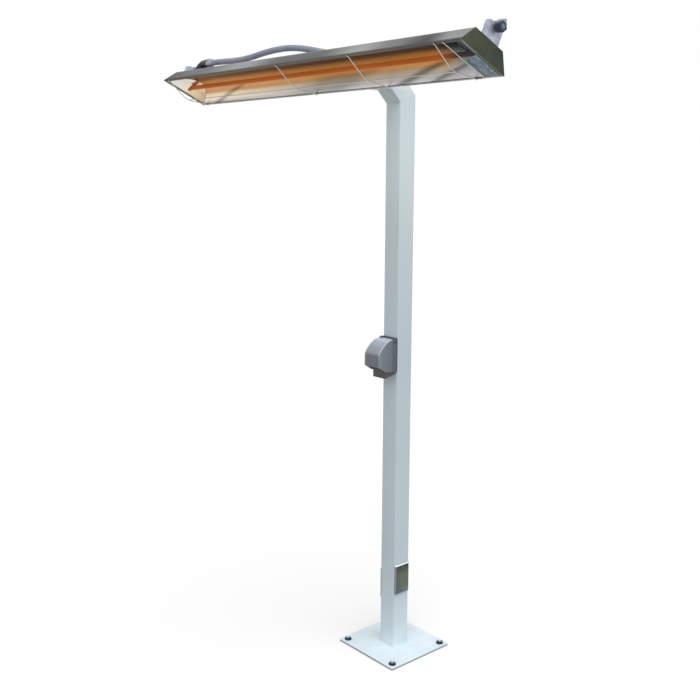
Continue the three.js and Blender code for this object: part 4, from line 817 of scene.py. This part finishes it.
dressed("tilt_bolt_right", ZINC, 0.5 * MM)
dressed("pivot_bolt", ZINC, 0.6 * MM)
dressed("pivot_nut", ZINC, 0.6 * MM)
dressed("arm_elbow", ZINC, 0.5 * MM)
dressed("head_elbow", BLACK, 0.5 * MM)
dressed("conduit_gland", ZINC, 0.6 * MM)

# ---------------------------------------------------------------- the wire guard

GUARD_WIRE_RADIUS = 1.6 * MM
GUARD_REST = -1.9 * MM  # the mouth's plane to a wire's middle where it lies on the lips
GUARD_DROP = 25 * MM
GUARD_HOOPS = (-0.742, -0.049, 0.314, 0.677)
GUARD_END_WIRE = 0.712
GUARD_FOOT = 9 * MM
GUARD_BEND = 9 * MM
GUARD_FLAT_FRONT = 88 * MM
GUARD_FLAT_BACK = 117 * MM
GUARD_FRONT = 2.6 * MM
GUARD_BACK = MOUTH_WIDTH - 2.6 * MM
GUARD_PROFILE = (  # of a hoop: across, up
    (GUARD_FRONT, GUARD_REST), (GUARD_FRONT + GUARD_FOOT, GUARD_REST),
    (GUARD_FLAT_FRONT, -GUARD_DROP), (GUARD_FLAT_BACK, -GUARD_DROP),
    (GUARD_BACK - GUARD_FOOT, GUARD_REST), (GUARD_BACK, GUARD_REST),
)


def rounded_line(points, radius, steps=8):
    """A broken line with each corner turned into an arc."""
    line = [points[0]]
    for before, corner, after in zip(points, points[1:], points[2:]):
        a = (before - corner).normalized()
        b = (after - corner).normalized()
        half = a.angle(b) / 2
        centre = corner + (a + b).normalized() * radius / math.sin(half)
        first = corner + a * radius / math.tan(half) - centre
        last = corner + b * radius / math.tan(half) - centre
        line += [centre + first.lerp(last, i / steps).normalized() * radius
                 for i in range(steps + 1)]
    return line + [points[-1]]


def guard_wire(name, line):
    """One round wire of the guard."""
    return put(tube(name, line, GUARD_WIRE_RADIUS, WIRE, 12), "head")


def make_guard():
    """Round bent hoops, the long wire inside their back corner, and the end wire's tail."""
    for i, x in enumerate(GUARD_HOOPS):
        corners = [head_point(x, across, up) for across, up in GUARD_PROFILE]
        hoop = guard_wire(f"guard_hoop_{i + 1}", rounded_line(corners, GUARD_BEND))
    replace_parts(hoop, "wire_guard")
    low = 1.4 * GUARD_WIRE_RADIUS - GUARD_DROP
    guard_wire("guard_long_wire", [head_point(x, GUARD_FLAT_BACK, low)
                                   for x in (GUARD_HOOPS[0], GUARD_HOOPS[-1])])
    back = GUARD_BACK - GUARD_FOOT / 2
    tail = [head_point(GUARD_HOOPS[-1], back, GUARD_REST),
            head_point(GUARD_END_WIRE, back, GUARD_REST),
            head_point(GUARD_END_WIRE, GUARD_FRONT, GUARD_REST)]
    guard_wire("guard_end_wire", rounded_line(tail, 2 * GUARD_WIRE_RADIUS))


make_guard()

# ---------------------------------------------------------------- welds

FOOT_WELD_RADIUS = 2.2 * MM
FORK_WELD_RADIUS = 1.6 * MM
WELD_SPACING = 2 * MM
WELD_RIPPLE = 0.14  # share of the radius
WELD_PITCH = 3  # points for each ripple


def square_ring(half, corner, steps=4):
    """Points round a rounded square."""
    ring = []
    for quarter, (sx, sy) in enumerate(((1, 1), (-1, 1), (-1, -1), (1, -1))):
        for step in range(steps + 1):
            angle = (quarter + step / steps) * math.pi / 2
            ring.append((sx * (half - corner) + corner * math.cos(angle),
                         sy * (half - corner) + corner * math.sin(angle)))
    return ring


def refine(ring, spacing):
    """The same closed line with points about a spacing apart."""
    fine = []
    for a, b in zip(ring, ring[1:] + ring[:1]):
        count = max(1, round((b - a).length / spacing))
        fine += [a.lerp(b, i / count) for i in range(count)]
    return fine


def weld_bead(name, ring, radius):
    """A rippled fillet of weld along a closed line."""
    def swell(i):
        return 1 + WELD_RIPPLE * math.sin(2 * math.pi * i / WELD_PITCH)

    line = refine(ring, WELD_SPACING)
    put(tube(name, line, radius, PAINT, 8, closed=True, swell=swell), "stand")


def make_welds():
    """The beads where the post stands on its plate and where the fork meets the arm."""
    outline = square_ring(POST_HALF, POST_CORNER)
    weld_bead("foot_weld", [Vector((x, y, PLATE_TOP)) for x, y in outline], FOOT_WELD_RADIUS)
    low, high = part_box("arm_fork")
    middle = (low[2] + high[2]) / 2
    weld_bead("fork_weld", [Vector((x, high[1], middle + y)) for x, y in outline],
              FORK_WELD_RADIUS)


make_welds()

# ---------------------------------------------------------------- anchors and clamping knobs


def in_mm(*pairs):
    """A turned profile whose (along, radius) pairs are given in millimetres."""
    return [(along * MM, radius * MM) for along, radius in pairs]


# Along the axis from the plate's top
WASHER_PROFILE = in_mm((0, 13.6), (0.4, 14), (1.9, 14), (2.5, 13.3))
NUT_PROFILE = in_mm((2.5, 10.8), (3.3, 11.2), (8.1, 11.2), (9.7, 10.2), (10.5, 8.8))
STUD_PROFILE = in_mm((10, 6), (10.4, 5.4), (10.8, 6), (11.2, 5.4), (11.6, 6), (12.4, 5.8), (13, 5))
# Along the axis from the piece's own foot
LOCK_KNOB_PROFILE = in_mm((0, 11), (1, 14.5), (11, 15.2), (13.8, 14), (15, 10.5))
HUB_PROFILE = in_mm((0, 7.2), (1.8, 7.2), (2.6, 6.2), (3.2, 3.6))

LOCK_KNOB_INSET = 3.5 * MM  # the housing's end to its foot
LOCK_KNOB_LOBES = 6
LOCK_KNOB_WAVE = 0.06  # share of the radius
HUB_INSET = 2 * MM  # the knob's face to the hub's foot


def anchor(corner):
    """A foot bolt: a washer rolled at its rims, a chamfered nut and the stud's threaded end."""
    low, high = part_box(f"anchor_washer_{corner}")
    foot = Vector(((low[0] + high[0]) / 2, (low[1] + high[1]) / 2, PLATE_TOP))
    for piece, profile, sides in (("washer", WASHER_PROFILE, 40), ("nut", NUT_PROFILE, 6)):
        node = f"anchor_{piece}_{corner}"
        turned = lathe(f"{node}_turned", profile, foot, UP, DARK_ZINC, sides)
        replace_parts(put(turned, "stand"), node)
    stud = lathe(f"anchor_stud_{corner}", STUD_PROFILE, foot, UP, DARK_ZINC, 24)
    put(stud, "stand")


def knob_trim(side):
    """The lobed nut that locks a bracket's stud from behind, and its bare end in the knob."""
    sign = 1 if side == "right" else -1
    body = f"clamp_knob_{side}"
    spot = head_point(sign * (HEAD_HALF_LENGTH - LOCK_KNOB_INSET), *KNOB_AXIS)
    nut = lathe(f"lock_knob_{side}", LOCK_KNOB_PROFILE, spot, (-sign, 0, 0), KNOB, 48,
                LOCK_KNOB_LOBES, LOCK_KNOB_WAVE)
    put(nut, body)
    low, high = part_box(f"bracket_knob_{side}")
    face = high[0] if side == "right" else -low[0]
    spot = head_point(sign * (face - HUB_INSET), *KNOB_AXIS)
    put(lathe(f"knob_hub_{side}", HUB_PROFILE, spot, (sign, 0, 0), HUB, 24), body)


for corner in CORNERS:
    anchor(corner)
for side in SIDES:
    knob_trim(side)

# ---------------------------------------------------------------- floor, world and lamp

FLOOR_SIZE = 60
FLOOR_BOUNCE = (0.34, 0.36)  # how pale it is as a light on the object, at its darkest and palest
FLOOR_GLOW = 0.045
DIFFUSE_LIGHT = 0.52  # the world's strength on matt surfaces
LAMP_STRENGTH = 1.68
LAMP_SPREAD = math.radians(60)
LAMP_DIRECTION = Vector((0.225, -0.085, 0.46))  # towards the lamp


def seen_directly(tree):
    """1 where the camera, a mirror or glass looks at a surface, 0 where it lights matt ones."""
    path = tree.nodes.new("ShaderNodeLightPath")
    seen = path.outputs["Is Camera Ray"]
    for other in ("Is Glossy Ray", "Is Transmission Ray"):
        either = tree.nodes.new("ShaderNodeMath")
        either.operation = "MAXIMUM"
        tree.links.new(seen, either.inputs[0])
        tree.links.new(path.outputs[other], either.inputs[1])
        seen = either.outputs[0]
    return seen


def make_floor():
    """A plain pale floor, white where it is looked at."""
    bm = bmesh.new()
    bmesh.ops.create_grid(bm, x_segments=2, y_segments=2, size=FLOOR_SIZE / 2)
    f = Finish("pale_floor", roughness=1.0, Specular_IOR_Level=0.0)
    bounce = f.ramp(f.noise(0.7), *((level, level, level, 1) for level in FLOOR_BOUNCE))
    f.colour(f.mix(seen_directly(f.tree), bounce, WHITE))
    f.shader.inputs["Emission Color"].default_value = WHITE
    f.shader.inputs["Emission Strength"].default_value = FLOOR_GLOW
    floor = mesh_object("floor", bm, f.material)
    bpy.context.scene.collection.objects.link(floor)


def make_world():
    """White where the camera, a mirror or glass looks at it, and dimmer as a light."""
    world = bpy.data.worlds.new("studio")
    bpy.context.scene.world = world
    world.use_nodes = True
    tree = world.node_tree
    background = tree.nodes["Background"]
    background.inputs["Color"].default_value = WHITE
    strength = tree.nodes.new("ShaderNodeMapRange")
    strength.inputs["To Min"].default_value = DIFFUSE_LIGHT
    strength.inputs["To Max"].default_value = 1.0
    tree.links.new(seen_directly(tree), strength.inputs["Value"])
    tree.links.new(strength.outputs[0], background.inputs["Strength"])


def make_lamp():
    """One very soft sun, high on the right and a little in front."""
    sun = bpy.data.lights.new("soft_sun", "SUN")
    sun.energy = LAMP_STRENGTH
    sun.angle = LAMP_SPREAD
    lamp = bpy.data.objects.new("soft_sun", sun)
    lamp.rotation_mode = "QUATERNION"
    lamp.rotation_quaternion = LAMP_DIRECTION.to_track_quat("Z", "Y")
    bpy.context.scene.collection.objects.link(lamp)


make_floor()
make_world()
make_lamp()
bpy.context.scene.view_settings.view_transform = "Standard"
